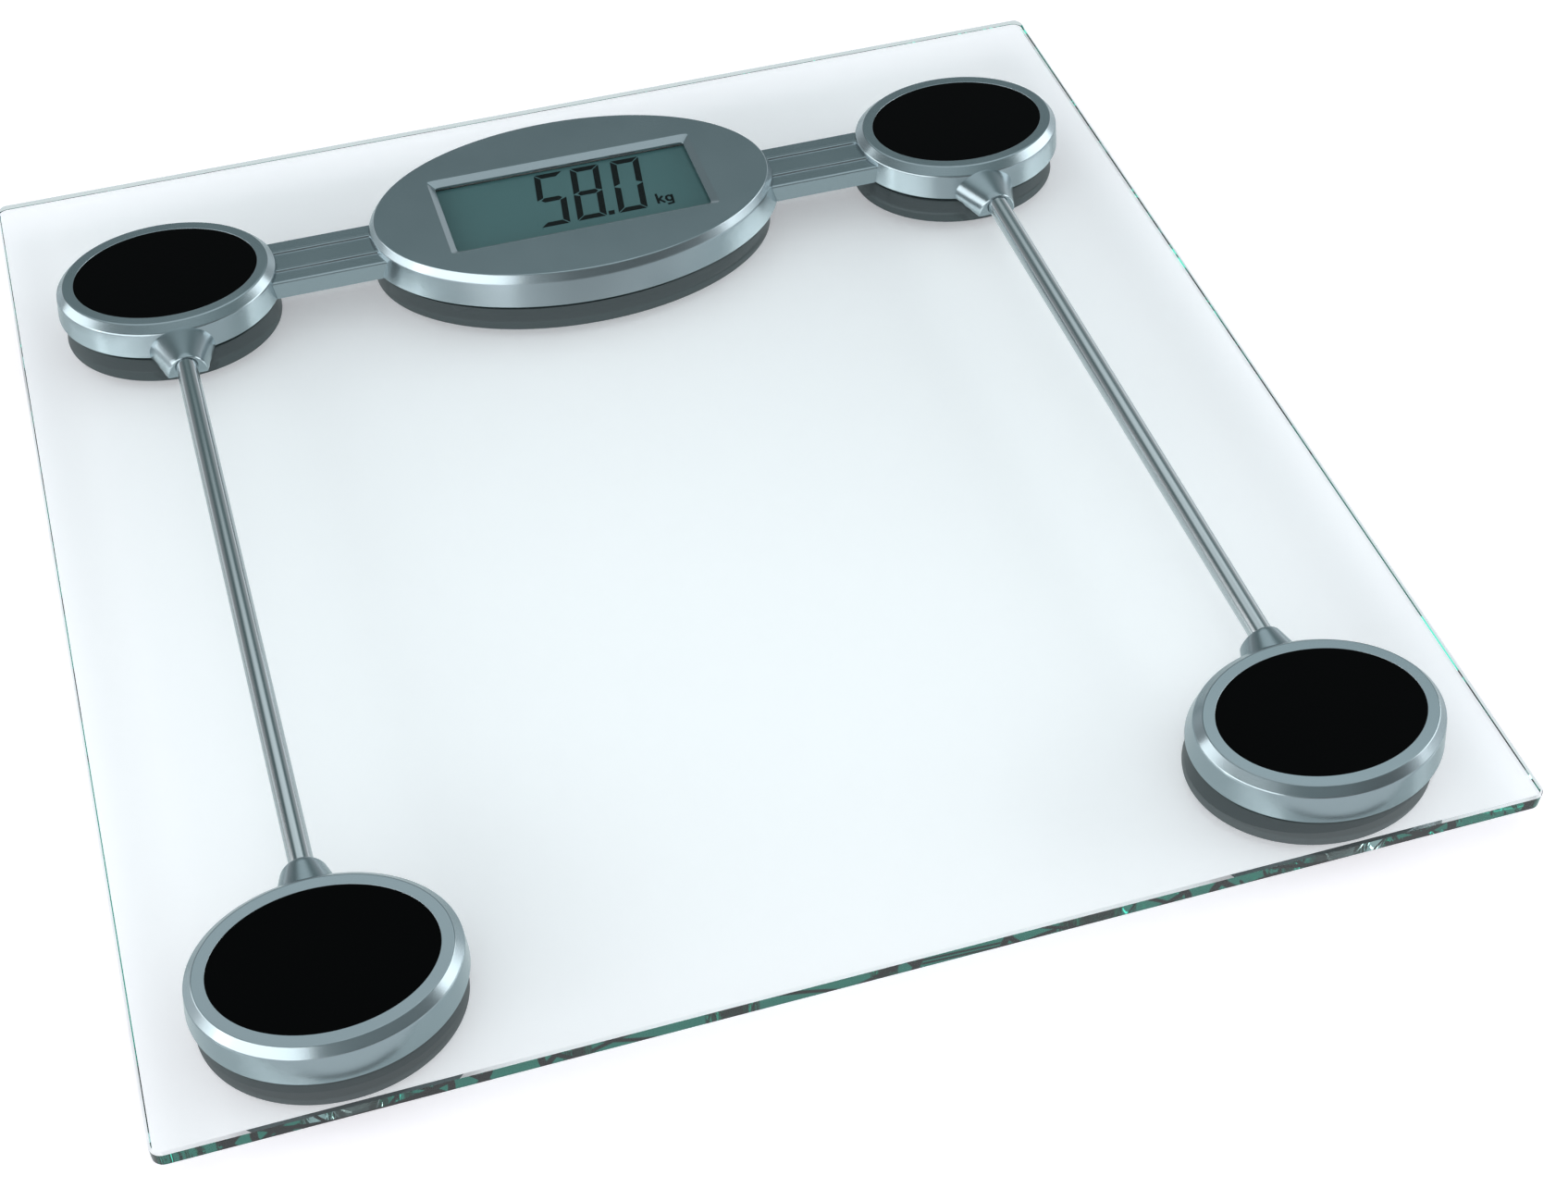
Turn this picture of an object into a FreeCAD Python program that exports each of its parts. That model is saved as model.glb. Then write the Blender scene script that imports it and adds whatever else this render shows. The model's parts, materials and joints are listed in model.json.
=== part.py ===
import FreeCAD, Part

# Glass personal scale: a square glass platform on four oval foot pods, with an oval display unit.
# Two steel tubes join the front pods to the rear ones, and two flat bars join the rear pods to the
# display. The tubes and bars carry the load cells' cables.
#
# Frame: millimetres, +Z up, +X to the right, +Y towards the display. The origin is on the floor
# under the centre of the glass.

import math
import os

from FreeCAD import Matrix, Vector

# ---------------------------------------------------------------- driving dimensions
GLASS_SIDE = 330.0
GLASS_THICK = 5.0
GLASS_CORNER = 3.0
GLASS_SEAM = 0.6                    # ground chamfer along the glass edges
GLASS_BOTTOM = 10.0
GLASS_TOP = GLASS_BOTTOM + GLASS_THICK
BASE_TOP = GLASS_BOTTOM - 0.1       # the bases hang this far below the glass
GASKET = 0.3                        # foam ring between a cover and the glass
COVER_BOTTOM = GLASS_TOP + GASKET
BASE_BOTTOM = 3.3                   # underside of the bases below the glass
GAP = 0.05                          # assembly clearance, per side
CLEAR_BLOCK = (160.0, 120.0)        # wider than any cover

POD_X = 120.6                       # pods stand at plus and minus this
POD_REAR_Y = 108.5
POD_FRONT_Y = -132.7
POD_TOP = GLASS_TOP + 9.1           # top of the pods and of the display unit
POD_SHOULDER = GLASS_TOP + 6.8      # where the wall turns into the chamfer
POD_FOOT_OVAL = (32.0, 26.1)        # semi-axes of the wall at the glass
POD_SHOULDER_OVAL = (30.8, 23.3)
POD_RING_OVAL = (29.2, 21.7)        # outer edge of the flat ring on top
INSERT_OVAL = (26.2, 18.9)
INSERT_DEPTH = 1.5
POD_CEILING = POD_TOP - 2.9
POD_HOLE_R = 13.0                   # hole through the glass inside each pod

DISPLAY_Y = 109.5
DISPLAY_FOOT_OVAL = (62.8, 38.9)
DISPLAY_SHOULDER_OVAL = (60.9, 36.0)
DISPLAY_TOP_OVAL = (59.4, 34.7)
DISPLAY_CEILING = POD_TOP - 2.0
WINDOW = (76.8, 30.4)               # clear opening over the liquid-crystal panel
WINDOW_BEVEL = 2.0
WINDOW_BEVEL_DEPTH = 1.3
SHELL = 2.0                         # wall of the covers and bases
POD_LEAN = 0.4                      # a pod's wall is this much thicker at its top
DISPLAY_LEAN = 0.3
OVERCUT = 1.0                       # a cutter runs this far past the faces it opens
JOIN = 0.1                          # pieces of one solid overlap by this much before they are fused

TUBE_R = 3.0
TUBE_WALL = 0.6
TUBE_Z = GLASS_TOP + 3.6
SOCKET_TIP = (5.6, 7.2)             # half width and height of the half-oval socket at its tip
FRONT, REAR = 1, -1                 # Y direction in which a front or a rear pod's socket points
SOCKET_ROOT = {FRONT: (9.4, 7.6), REAR: (11.2, 7.6)}
SOCKET_TIP_Y = {FRONT: 29.7, REAR: 35.2}  # from the pod centre
SOCKET_ROOT_Y = 19.5
TUBE_END_Y = 26.0                   # end of a tube, from the pod centre

BAR_Y = 107.8
BAR_HALF = 9.5
BAR_HEIGHT = 5.5
BAR_RIB_Y = 4.0
BAR_RIB = (0.9, 0.6)                # width and height of the ribs along a bar
BAR_SLOPE = 0.3                     # foot of a rib's side
BAR_SHOULDER = (0.25, 0.4)          # the bar's top corner starts this far in and down
BAR_CHAMFER = 0.65                  # and ends this far in
BAR_CHANNEL = (8.0, 4.0)            # half width and height of the hollow below a bar
GATE_GAP = 0.2                      # openings for cables are this much smaller than the channel
GATE_LENGTH = 20.0
FRONT_LANE = -4.0                   # cable lanes in a bar, from its centre
REAR_LANE = 6.8

BASE_TOP_OVAL = (29.6, 23.7)
BASE_BOTTOM_OVAL = (31.2, 25.5)
DISPLAY_BASE_BOTTOM_OVAL = (60.6, 37.6)
DISPLAY_BASE_TOP_OVAL = (60.2, 36.3)
SPIGOT_TOP = GLASS_TOP - 0.4
SPIGOT_GAP = 0.3
CELL_POCKET_R = 21.5
CELL_TOP = 8.0
CELL_THICK = 2.0
CELL_SIDE = 32.0
CELL_CORNER = 6.0
CELL_SLOT_X = 6.25                  # the tongue's slots: place, width and reach
CELL_SLOT_WIDTH = 1.5
CELL_SLOT_Y = 9.0
FOOT_R = 20.8
FOOT_RIM_Z = 1.0
PAD_R = 17.5
PAD_TOP = 2.0
FOOT_DISC_TOP = 4.0
FOOT_BOSS_R = 5.0
FOOT_PIN_R = 2.0
FOOT_ROUND = 0.6
PAD_ROUND = 0.5
PAD_GROOVES = (8.0, 12.5)           # radii of the grip grooves
PAD_GROOVE_HALF = 0.6
PAD_GROOVE_DEPTH = 0.5

SCREW_AT = 8.0                      # case screws of a pod, each side of its centre
SCREW_R = 1.4
SCREW_HEAD_R = 2.6
SCREW_HEAD = 1.7
SCREW_SEAT = 12.6                   # underside of the clamped shoulder, where the heads bear
SCREW_TIP = 20.4
SCREW_HOLE_GAP = 0.15
SCREW_HEAD_GAP = 0.3
SCREW_RECESS = (2.8, 0.7, 1.0)      # length, width and depth of a head's cross
BOSS_R = 3.2
BOSS_GLASS_GAP = 1.4
DISPLAY_SCREW_X = 50.0
CABLE_R = 0.7
CABLE_HOLE_R = 1.7
CABLE_AT = 9.5                      # cable hole of a pod, from its centre
CABLE_Z = 17.4                      # cables in the bars and at the board's edge

BOARD = (92.0, 38.0)
BOARD_BOTTOM = 16.6
BOARD_TOP = 18.2
PANEL_BOTTOM = 18.9
PANEL = (80.0, 34.0)
PANEL_GLASS = 1.0                   # thickness of each of the panel's two glasses
PANEL_STEP = 1.5                    # contact ledge of the panel's back glass
LENS = (79.6, 33.2)
LENS_THICK = 0.9
LENS_CORNER = 1.0
BOARD_SCREW_AT = (43.6, 14.0)
BOARD_SCREW_R = 0.82
BOARD_SCREW_HEAD = (1.6, 1.1)       # radius and height
POST_R = 1.8
HOLDER_RIM = (1.7, 1.5)             # width of the panel's holder along X and Y
HOLDER_GAP = 0.2
STRIP_WIDTH = 1.8
STRIP_INSET = 1.2
CHIP_X = -26.0
CHIP_R = 5.5
CHIP_HEIGHT = 1.2

BATTERY_X = 24.0
BATTERY_R = 10.0
BATTERY_BOTTOM = 5.2
BATTERY_TOP = 8.4
BAY_R = 10.4
BAY_BLOCK = (33.0, 26.0)            # block around the battery bay
BAY_BLOCK_Y = -2.8                  # its centre, from the battery's centre
BAY_ROOF = 8.75
CELL_CAP_INSET = 1.2
CELL_CAP = 0.4
CONTACT_Y = 3.0                     # contact strips lie this far each side of the battery's centre
CONTACT_WIDTH = 3.0
CONTACT_THICK = 0.3
CONTACT_END = 3.5                   # inner end of both strips
CONTACT_SLOT = CONTACT_WIDTH + 0.6
LEAD_X = 4.6
FLOOR_TOP = 4.9                     # inside face of the display base's floor
DOOR = (27.0, 25.0)
DOOR_GAP = 0.35
DOOR_TOP = 4.7
DOOR_STEP = 3.2                     # the wide part of the door stops this far before the hinge axis
HINGE_Y = 12.5                      # hinge axis behind the display's centre
HINGE_Z = 5.0
HINGE_BARREL_R = 1.3
HINGE_PIN_R = 0.7
HINGE_PIN_GAP = 0.06
EAR = (3.0, 4.4, 2.2)               # width, depth and height over the axis of a hinge ear
DOOR_NECK = 6.0                     # the barrel and neck are this much narrower than the door
TAB = (10.0, 5.4)
TAB_ROOM = (11.0, 8.0)
TAB_SHIFT = 0.8
RIDGE = (8.0, 0.5, 0.35)            # length, width and depth of a grip groove in the tab
RIDGE_STEP = 1.3
SWITCH_X = -5.0
SWITCH_TRAVEL = 3.0
SWITCH_BODY = (11.0, 6.0, 3.6)
SWITCH_SLOT = (SWITCH_TRAVEL + 3.6, 3.0)
SWITCH_WELL = 1.6
KNOB = (3.0, 2.4)
KNOB_NOTCH = (0.8, 4.0, 0.6)
SWITCH_LEADS = (-2.5, 0.0, 2.5)
LEAD_HOLE_R = 9.0
LEAD_R = 0.6


# ---------------------------------------------------------------- helpers
def oval_wire(semi_axes, z):
    """Ellipse of these semi-axes, long axis along X, centred on the Z axis."""
    return Part.Wire(Part.Ellipse(Vector(0, 0, z), *semi_axes).toShape())


def oval_block(low_oval, low_z, high_oval, high_z):
    """Solid with straight sides from one oval up to another."""
    return Part.makeLoft([oval_wire(low_oval, low_z), oval_wire(high_oval, high_z)], True, True)


def shrink(semi_axes, by):
    """The oval this much smaller all round."""
    return (semi_axes[0] - by, semi_axes[1] - by)


def cylinder(radius, low, high, x=0.0, y=0.0):
    """Upright cylinder between two heights."""
    return Part.makeCylinder(radius, high - low, Vector(x, y, low))


def block(size_x, size_y, low, high, x=0.0, y=0.0):
    """Upright box centred on (x, y) between two heights."""
    return Part.makeBox(size_x, size_y, high - low, Vector(x - size_x / 2, y - size_y / 2, low))


def rectangle_wire(size_x, size_y, z):
    """Rectangle centred on the Z axis."""
    corners = [(-1, -1), (1, -1), (1, 1), (-1, 1), (-1, -1)]
    return Part.makePolygon([Vector(sx * size_x / 2, sy * size_y / 2, z) for sx, sy in corners])


def rounded_block(size_x, size_y, low, high, radius):
    """Upright box with rounded vertical edges."""
    solid = block(size_x, size_y, low, high)
    upright = [edge for edge in solid.Edges if abs(edge.tangentAt(edge.FirstParameter).z) > 0.9]
    return solid.makeFillet(radius, upright)


def turned(shape, degrees):
    """Copy of the shape turned about the Z axis."""
    copy = shape.copy()
    copy.rotate(Vector(0, 0, 0), Vector(0, 0, 1), degrees)
    return copy


def placed(shape, x, y):
    """Copy of the shape moved over the glass."""
    return shape.translated(Vector(x, y, 0))


def half_oval_wire(half_width, height, y):
    """Upright half oval that stands on the cover's bottom plane, for a tube socket."""
    arc = Part.Arc(Vector(1, 0, 0), Vector(0, 0, 1), Vector(-1, 0, 0)).toShape()
    sill = Part.makeLine(Vector(-1, 0, 0), Vector(1, 0, 0))
    stretch = Matrix()
    stretch.scale(half_width, 1, height)
    wire = Part.Wire([arc, sill]).transformGeometry(stretch)
    return wire.translated(Vector(0, y, GLASS_TOP))


def rounded_path(points):
    """Straight runs joined by tangent arcs, each as large as its two runs allow."""
    corners = [Vector(*point) for point in points]
    edges = []
    start = corners[0]
    for before, corner, after in zip(corners, corners[1:], corners[2:]):
        come = (corner - before).normalize()
        leave = (after - corner).normalize()
        turn = come.getAngle(leave)
        shorter = min((corner - before).Length, (after - corner).Length)
        reach = 0.45 * shorter
        radius = reach / math.tan(turn / 2)
        print("   arc radius %.1f mm" % radius)
        arc_start = corner - come * reach
        arc_end = corner + leave * reach
        inward = (leave - come).normalize()
        middle = corner + inward * (radius / math.cos(turn / 2) - radius)
        edges.append(Part.makeLine(start, arc_start))
        edges.append(Part.Arc(arc_start, middle, arc_end).toShape())
        start = arc_end
    edges.append(Part.makeLine(start, corners[-1]))
    return Part.Wire(edges)


def cable(points):
    """Round cable along a route."""
    path = rounded_path(points)
    first, second = Vector(*points[0]), Vector(*points[1])
    section = Part.Wire(Part.Circle(first, second - first, CABLE_R).toShape())
    solid = path.makePipeShell([section], True, True)
    expected = math.pi * CABLE_R ** 2 * path.Length
    print("   cable length %.0f mm, volume over section times length %.3f"
          % (path.Length, solid.Volume / expected))
    return solid


def export(name, shape):
    """Write one sub-part, or one group of identical fasteners."""
    shape.exportStep("parts/%s.step" % name)
    print("%-28s solids %d  volume %.0f mm3" % (name, len(shape.Solids), shape.Volume))


# ---------------------------------------------------------------- glass
def glass_platform(pod_places):
    """Toughened glass plate with a hole in each pod and three below the display unit."""
    plate = rounded_block(GLASS_SIDE, GLASS_SIDE, GLASS_BOTTOM, GLASS_TOP, GLASS_CORNER)
    rims = [edge for edge in plate.Edges if abs(edge.tangentAt(edge.FirstParameter).z) < 0.1]
    plate = plate.makeChamfer(GLASS_SEAM, rims)
    for x, y in pod_places:
        plate = plate.cut(cylinder(POD_HOLE_R, GLASS_BOTTOM - OVERCUT, GLASS_TOP + OVERCUT, x, y))
    for side in (-1, 1):
        x = side * DISPLAY_SCREW_X
        plate = plate.cut(cylinder(BOSS_R + BOSS_GLASS_GAP, GLASS_BOTTOM - OVERCUT, GLASS_TOP + OVERCUT,
                                   x, DISPLAY_Y))
    return plate.cut(cylinder(LEAD_HOLE_R, GLASS_BOTTOM - OVERCUT, GLASS_TOP + OVERCUT, 0, DISPLAY_Y))


# ---------------------------------------------------------------- pod, above the glass
def cable_gate(x, y):
    """Cutter for the opening of a cover at the end of a bar's channel."""
    return block(GATE_LENGTH, 2 * (BAR_CHANNEL[0] - GATE_GAP), GLASS_TOP - OVERCUT,
                 GLASS_TOP + BAR_CHANNEL[1] - GATE_GAP, x, y)


def case_boss(top, x=0.0, y=0.0):
    """Screw boss of a cover, with its pilot hole."""
    boss = cylinder(BOSS_R, SPIGOT_TOP + GAP, top, x, y)
    return boss.cut(cylinder(SCREW_R + GAP, SPIGOT_TOP - OVERCUT, SCREW_TIP + SCREW_HEAD_GAP, x, y))


def tube_socket(facing):
    """Tapered half-oval socket that takes a tube's end; facing is the sign of its Y direction."""
    root = half_oval_wire(*SOCKET_ROOT[facing], facing * SOCKET_ROOT_Y)
    tip = half_oval_wire(*SOCKET_TIP, facing * SOCKET_TIP_Y[facing])
    return Part.makeLoft([root, tip], True, True)


def pod_envelope():
    """Outer form of a pod, from the glass to its flat top."""
    wall = oval_block(POD_FOOT_OVAL, GLASS_TOP, POD_SHOULDER_OVAL, POD_SHOULDER)
    chamfer = oval_block(POD_SHOULDER_OVAL, POD_SHOULDER, POD_RING_OVAL, POD_TOP)
    return wall.fuse(chamfer).removeSplitter()


def pod_cover(facing, bar_side, turn):
    """Silver shell of a pod: socket to the front or rear, and a cable window to the bar, if any."""
    outer = pod_envelope().fuse(tube_socket(facing))
    hollow = oval_block(shrink(POD_FOOT_OVAL, SHELL), GLASS_TOP,
                        shrink(POD_SHOULDER_OVAL, SHELL + POD_LEAN), POD_CEILING)
    shell = outer.cut(hollow)
    for side in (-1, 1):
        shell = shell.fuse(turned(case_boss(POD_CEILING + JOIN, 0, side * SCREW_AT), turn))
    recess_low = POD_TOP - INSERT_DEPTH
    shell = shell.cut(oval_block(INSERT_OVAL, recess_low, INSERT_OVAL, POD_TOP + OVERCUT))
    bore_start = SOCKET_ROOT_Y - SHELL
    bore = Part.makeCylinder(TUBE_R + GAP, SOCKET_TIP_Y[facing] + SHELL - bore_start,
                             Vector(0, facing * bore_start, TUBE_Z), Vector(0, facing, 0))
    shell = shell.cut(bore)
    if bar_side:
        shell = shell.cut(cable_gate(bar_side * POD_FOOT_OVAL[0], BAR_Y - POD_REAR_Y))
    below = block(*CLEAR_BLOCK, GLASS_BOTTOM, COVER_BOTTOM)
    column = cylinder(POD_HOLE_R - 0.5, GLASS_BOTTOM, COVER_BOTTOM + JOIN)
    return shell.cut(below.cut(column))


def pod_insert():
    """Black oval inlay in the top of a pod."""
    return oval_block(shrink(INSERT_OVAL, GAP), POD_TOP - INSERT_DEPTH,
                      shrink(INSERT_OVAL, GAP), POD_TOP - GAP)


def oval_gasket(outer):
    """Flat foam ring under the wall of a cover."""
    edge = shrink(outer, 0.1 * SHELL)
    inner = shrink(outer, 1.3 * SHELL)
    ring = oval_block(edge, GLASS_TOP, edge, COVER_BOTTOM)
    return ring.cut(oval_block(inner, GLASS_TOP - OVERCUT, inner, COVER_BOTTOM + OVERCUT))


# ---------------------------------------------------------------- pod, below the glass
def foot_base(turn):
    """Dark base below the glass, with a spigot in the glass hole and a pocket for the load cell."""
    base = oval_block(BASE_BOTTOM_OVAL, BASE_BOTTOM, BASE_TOP_OVAL, BASE_TOP)
    base = base.fuse(cylinder(POD_HOLE_R - SPIGOT_GAP, BASE_TOP - OVERCUT, SPIGOT_TOP))
    base = base.cut(cylinder(CELL_POCKET_R, BASE_BOTTOM - OVERCUT, CELL_TOP))
    for side in (-1, 1):
        drill = screw_drill(CELL_TOP - OVERCUT, 0, side * SCREW_AT)
        base = base.cut(turned(drill, turn))
    base = base.cut(cylinder(FOOT_PIN_R + 0.8, CELL_TOP - OVERCUT, CELL_TOP + 1.2))
    cable_hole = cylinder(CABLE_HOLE_R, CELL_TOP - OVERCUT, SPIGOT_TOP + OVERCUT, CABLE_AT)
    return base.cut(turned(cable_hole, turn))


def screw_drill(low, x, y):
    """Cutter for a case screw's head and shank, from this height up through a base."""
    head = cylinder(SCREW_HEAD_R + SCREW_HEAD_GAP, low, SCREW_SEAT, x, y)
    shank = cylinder(SCREW_R + SCREW_HOLE_GAP, SCREW_SEAT - OVERCUT, SPIGOT_TOP + OVERCUT, x, y)
    return head.fuse(shank)


def load_cell(turn):
    """Spring-steel load cell: a square frame with a tongue that the foot bears on."""
    low = CELL_TOP - CELL_THICK
    plate = rounded_block(CELL_SIDE, CELL_SIDE, low, CELL_TOP, CELL_CORNER)
    below, above = low - OVERCUT, CELL_TOP + OVERCUT
    for side in (-1, 1):
        plate = plate.cut(block(CELL_SLOT_WIDTH, 2 * CELL_SLOT_Y, below, above, side * CELL_SLOT_X))
    end_length = 2 * CELL_SLOT_X + CELL_SLOT_WIDTH
    plate = plate.cut(block(end_length, CELL_SLOT_WIDTH, below, above, 0, CELL_SLOT_Y))
    plate = plate.cut(cylinder(FOOT_PIN_R + 2 * GAP, below, above))
    return turned(plate, turn)


def foot_cup():
    """Foot that bears on the load cell's tongue and holds the rubber pad."""
    disc = cylinder(FOOT_R, FOOT_RIM_Z, FOOT_DISC_TOP)
    rims = [edge for edge in disc.Edges if isinstance(edge.Curve, Part.Circle)]
    disc = disc.makeFillet(FOOT_ROUND, rims)
    disc = disc.cut(cylinder(PAD_R + GAP, FOOT_RIM_Z - OVERCUT, PAD_TOP))
    boss = cylinder(FOOT_BOSS_R, FOOT_DISC_TOP - 0.5, CELL_TOP - CELL_THICK)
    pin = cylinder(FOOT_PIN_R, CELL_TOP - CELL_THICK - 0.5, CELL_TOP - 0.2)
    return disc.fuse([boss, pin]).removeSplitter()


def foot_pad():
    """Rubber pad under a foot, with two shallow grip grooves."""
    pad = cylinder(PAD_R, 0, PAD_TOP)
    pad = pad.makeFillet(PAD_ROUND, [edge for edge in pad.Edges if edge.BoundBox.ZMax < JOIN])
    for radius in PAD_GROOVES:
        groove = cylinder(radius + PAD_GROOVE_HALF, -OVERCUT, PAD_GROOVE_DEPTH)
        pad = pad.cut(groove.cut(cylinder(radius - PAD_GROOVE_HALF, -2 * OVERCUT, OVERCUT)))
    return pad


def case_screw():
    """Pan-head case screw, driven from below."""
    head = cylinder(SCREW_HEAD_R, SCREW_SEAT - SCREW_HEAD, SCREW_SEAT)
    low = SCREW_SEAT - SCREW_HEAD
    head = head.makeFillet(0.7, [edge for edge in head.Edges if edge.BoundBox.ZMax < low + JOIN])
    length, width, depth = SCREW_RECESS
    for size in ((length, width), (width, length)):
        head = head.cut(block(*size, low - OVERCUT, low + depth))
    return head.fuse(cylinder(SCREW_R, SCREW_SEAT - JOIN, SCREW_TIP))


# ---------------------------------------------------------------- tubes, bars and cables
def side_tube(side):
    """Steel tube from a rear pod's socket to a front pod's socket."""
    rear, front = POD_REAR_Y - TUBE_END_Y, POD_FRONT_Y + TUBE_END_Y
    start = Vector(side * POD_X, front, TUBE_Z)
    tube = Part.makeCylinder(TUBE_R, rear - front, start, Vector(0, 1, 0))
    return tube.cut(Part.makeCylinder(TUBE_R - TUBE_WALL, rear - front, start, Vector(0, 1, 0)))


def link_bar(side):
    """Flat bar with two ribs, a channel for cables below, cut to fit the pod and the display."""
    top = GLASS_TOP + BAR_HEIGHT
    rib_half = BAR_RIB[0] / 2
    right = [(BAR_HALF, GLASS_TOP), (BAR_HALF - BAR_SHOULDER[0], top - BAR_SHOULDER[1]),
             (BAR_HALF - BAR_CHAMFER, top),
             (BAR_RIB_Y + rib_half + BAR_SLOPE, top), (BAR_RIB_Y + rib_half, top + BAR_RIB[1]),
             (BAR_RIB_Y - rib_half, top + BAR_RIB[1]), (BAR_RIB_Y - rib_half - BAR_SLOPE, top)]
    left = [(-y, z) for y, z in reversed(right)]
    low_x, high_x = SOCKET_ROOT_Y, POD_X - SOCKET_ROOT_Y
    outline = [Vector(low_x, y, z) for y, z in right + left + right[:1]]
    bar = Part.Face(Part.makePolygon(outline)).extrude(Vector(high_x - low_x, 0, 0))
    hollow = block(high_x, 2 * BAR_CHANNEL[0], GLASS_TOP - OVERCUT, GLASS_TOP + BAR_CHANNEL[1],
                   high_x / 2 + low_x)
    bar = bar.cut(hollow).translated(Vector(0, BAR_Y, 0))
    bar = bar.cut(placed(pod_envelope(), POD_X, POD_REAR_Y))
    bar = bar.cut(placed(display_envelope(), 0, DISPLAY_Y))
    return bar if side > 0 else bar.mirror(Vector(0, 0, 0), Vector(1, 0, 0))


def front_cable(side):
    """Cable from a front load cell, through the tube, the rear pod and the bar, to the board."""
    start_y = POD_FRONT_Y + CABLE_AT
    lane = BAR_Y + FRONT_LANE
    return cable([(side * POD_X, start_y, CELL_TOP), (side * POD_X, start_y, TUBE_Z),
                  (side * POD_X, POD_REAR_Y - 20.5, TUBE_Z),
                  (side * (POD_X - 15.0), lane, CABLE_Z), (side * BOARD[0] / 2, lane, CABLE_Z)])


def rear_cable(side):
    """Cable from a rear load cell through the bar to the board."""
    start_x = POD_X - CABLE_AT
    lane = BAR_Y + REAR_LANE
    return cable([(side * start_x, POD_REAR_Y, CELL_TOP), (side * start_x, POD_REAR_Y, CABLE_Z),
                  (side * (start_x - 14.0), lane, CABLE_Z), (side * BOARD[0] / 2, lane, CABLE_Z)])


# ---------------------------------------------------------------- display unit, above the glass
def display_envelope():
    """Outer form of the display unit, from the glass to its flat top."""
    wall = oval_block(DISPLAY_FOOT_OVAL, GLASS_TOP, DISPLAY_SHOULDER_OVAL, POD_SHOULDER)
    chamfer = oval_block(DISPLAY_SHOULDER_OVAL, POD_SHOULDER, DISPLAY_TOP_OVAL, POD_TOP)
    return wall.fuse(chamfer).removeSplitter()


def display_cover():
    """Silver shell over the board, with a bevelled window and openings for the bars' cables."""
    shell = display_envelope()
    hollow = oval_block(shrink(DISPLAY_FOOT_OVAL, SHELL), GLASS_TOP,
                        shrink(DISPLAY_SHOULDER_OVAL, SHELL + DISPLAY_LEAN), DISPLAY_CEILING)
    shell = shell.cut(hollow)
    for side in (-1, 1):
        shell = shell.fuse(case_boss(DISPLAY_CEILING + JOIN, side * DISPLAY_SCREW_X))
        shell = shell.cut(cable_gate(side * DISPLAY_FOOT_OVAL[0], BAR_Y - DISPLAY_Y))
    for x, y in board_screw_places():
        post = cylinder(POST_R, BOARD_TOP, DISPLAY_CEILING + JOIN, x, y)
        pilot = cylinder(POST_R / 2, BOARD_TOP - OVERCUT, DISPLAY_CEILING - 0.6, x, y)
        shell = shell.fuse(post.cut(pilot))
    bevel_low = POD_TOP - WINDOW_BEVEL_DEPTH
    bevel = Part.makeLoft([rectangle_wire(*WINDOW, bevel_low),
                           rectangle_wire(*[size + 2 * WINDOW_BEVEL for size in WINDOW], POD_TOP)],
                          True, True)
    shell = shell.cut(bevel).cut(block(*WINDOW, DISPLAY_CEILING - OVERCUT, bevel_low + JOIN))
    below = block(*CLEAR_BLOCK, GLASS_BOTTOM, COVER_BOTTOM)
    for side in (-1, 1):
        below = below.cut(cylinder(BOSS_R + 0.2, GLASS_BOTTOM, COVER_BOTTOM + JOIN, side * DISPLAY_SCREW_X))
    return placed(shell.cut(below), 0, DISPLAY_Y)


def board_screw_places():
    """Four corners of the board's screw pattern, from the display's centre."""
    return [(sx * BOARD_SCREW_AT[0], sy * BOARD_SCREW_AT[1]) for sx in (-1, 1) for sy in (-1, 1)]


def display_lens():
    """Clear window glued below the opening."""
    lens = rounded_block(*LENS, DISPLAY_CEILING - LENS_THICK, DISPLAY_CEILING, LENS_CORNER)
    return placed(lens, 0, DISPLAY_Y)


def lcd_panel():
    """Liquid-crystal panel: front glass on a slightly deeper back glass with its contact ledges."""
    middle = PANEL_BOTTOM + PANEL_GLASS
    back = block(*PANEL, PANEL_BOTTOM, middle)
    front = block(PANEL[0], PANEL[1] - 2 * PANEL_STEP, middle, middle + PANEL_GLASS)
    return placed(back.fuse(front).removeSplitter(), 0, DISPLAY_Y)


def lcd_holder():
    """Plastic frame that keeps the panel square over the board."""
    frame = rounded_block(PANEL[0] + 2 * HOLDER_RIM[0], PANEL[1] + 2 * HOLDER_RIM[1], BOARD_TOP,
                          DISPLAY_CEILING - LENS_THICK, LENS_CORNER)
    well = block(PANEL[0] + 2 * HOLDER_GAP, PANEL[1] + 2 * HOLDER_GAP, BOARD_TOP - OVERCUT,
                 DISPLAY_CEILING)
    return placed(frame.cut(well), 0, DISPLAY_Y)


def contact_strips():
    """Two rubber contact strips between the board and the panel's ledges."""
    strips = [block(PANEL[0] - 4, STRIP_WIDTH, BOARD_TOP, PANEL_BOTTOM, 0,
                    side * (PANEL[1] / 2 - STRIP_INSET)) for side in (-1, 1)]
    return placed(Part.makeCompound(strips), 0, DISPLAY_Y)


def circuit_board():
    """Board with its screw holes and the holes for the leads from below."""
    board = rounded_block(*BOARD, BOARD_BOTTOM, BOARD_TOP, 2.0)
    for x, y in board_screw_places():
        board = board.cut(cylinder(1.0, BOARD_BOTTOM - OVERCUT, BOARD_TOP + OVERCUT, x, y))
    return placed(board, 0, DISPLAY_Y)


def controller_chip():
    """Low epoxy dome over the controller, under the board."""
    low = BOARD_BOTTOM - CHIP_HEIGHT
    dome = cylinder(CHIP_R, low, BOARD_BOTTOM, CHIP_X)
    rim = [edge for edge in dome.Edges if edge.BoundBox.ZMax < low + JOIN]
    return placed(dome.makeFillet(1.0, rim), 0, DISPLAY_Y)


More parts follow.
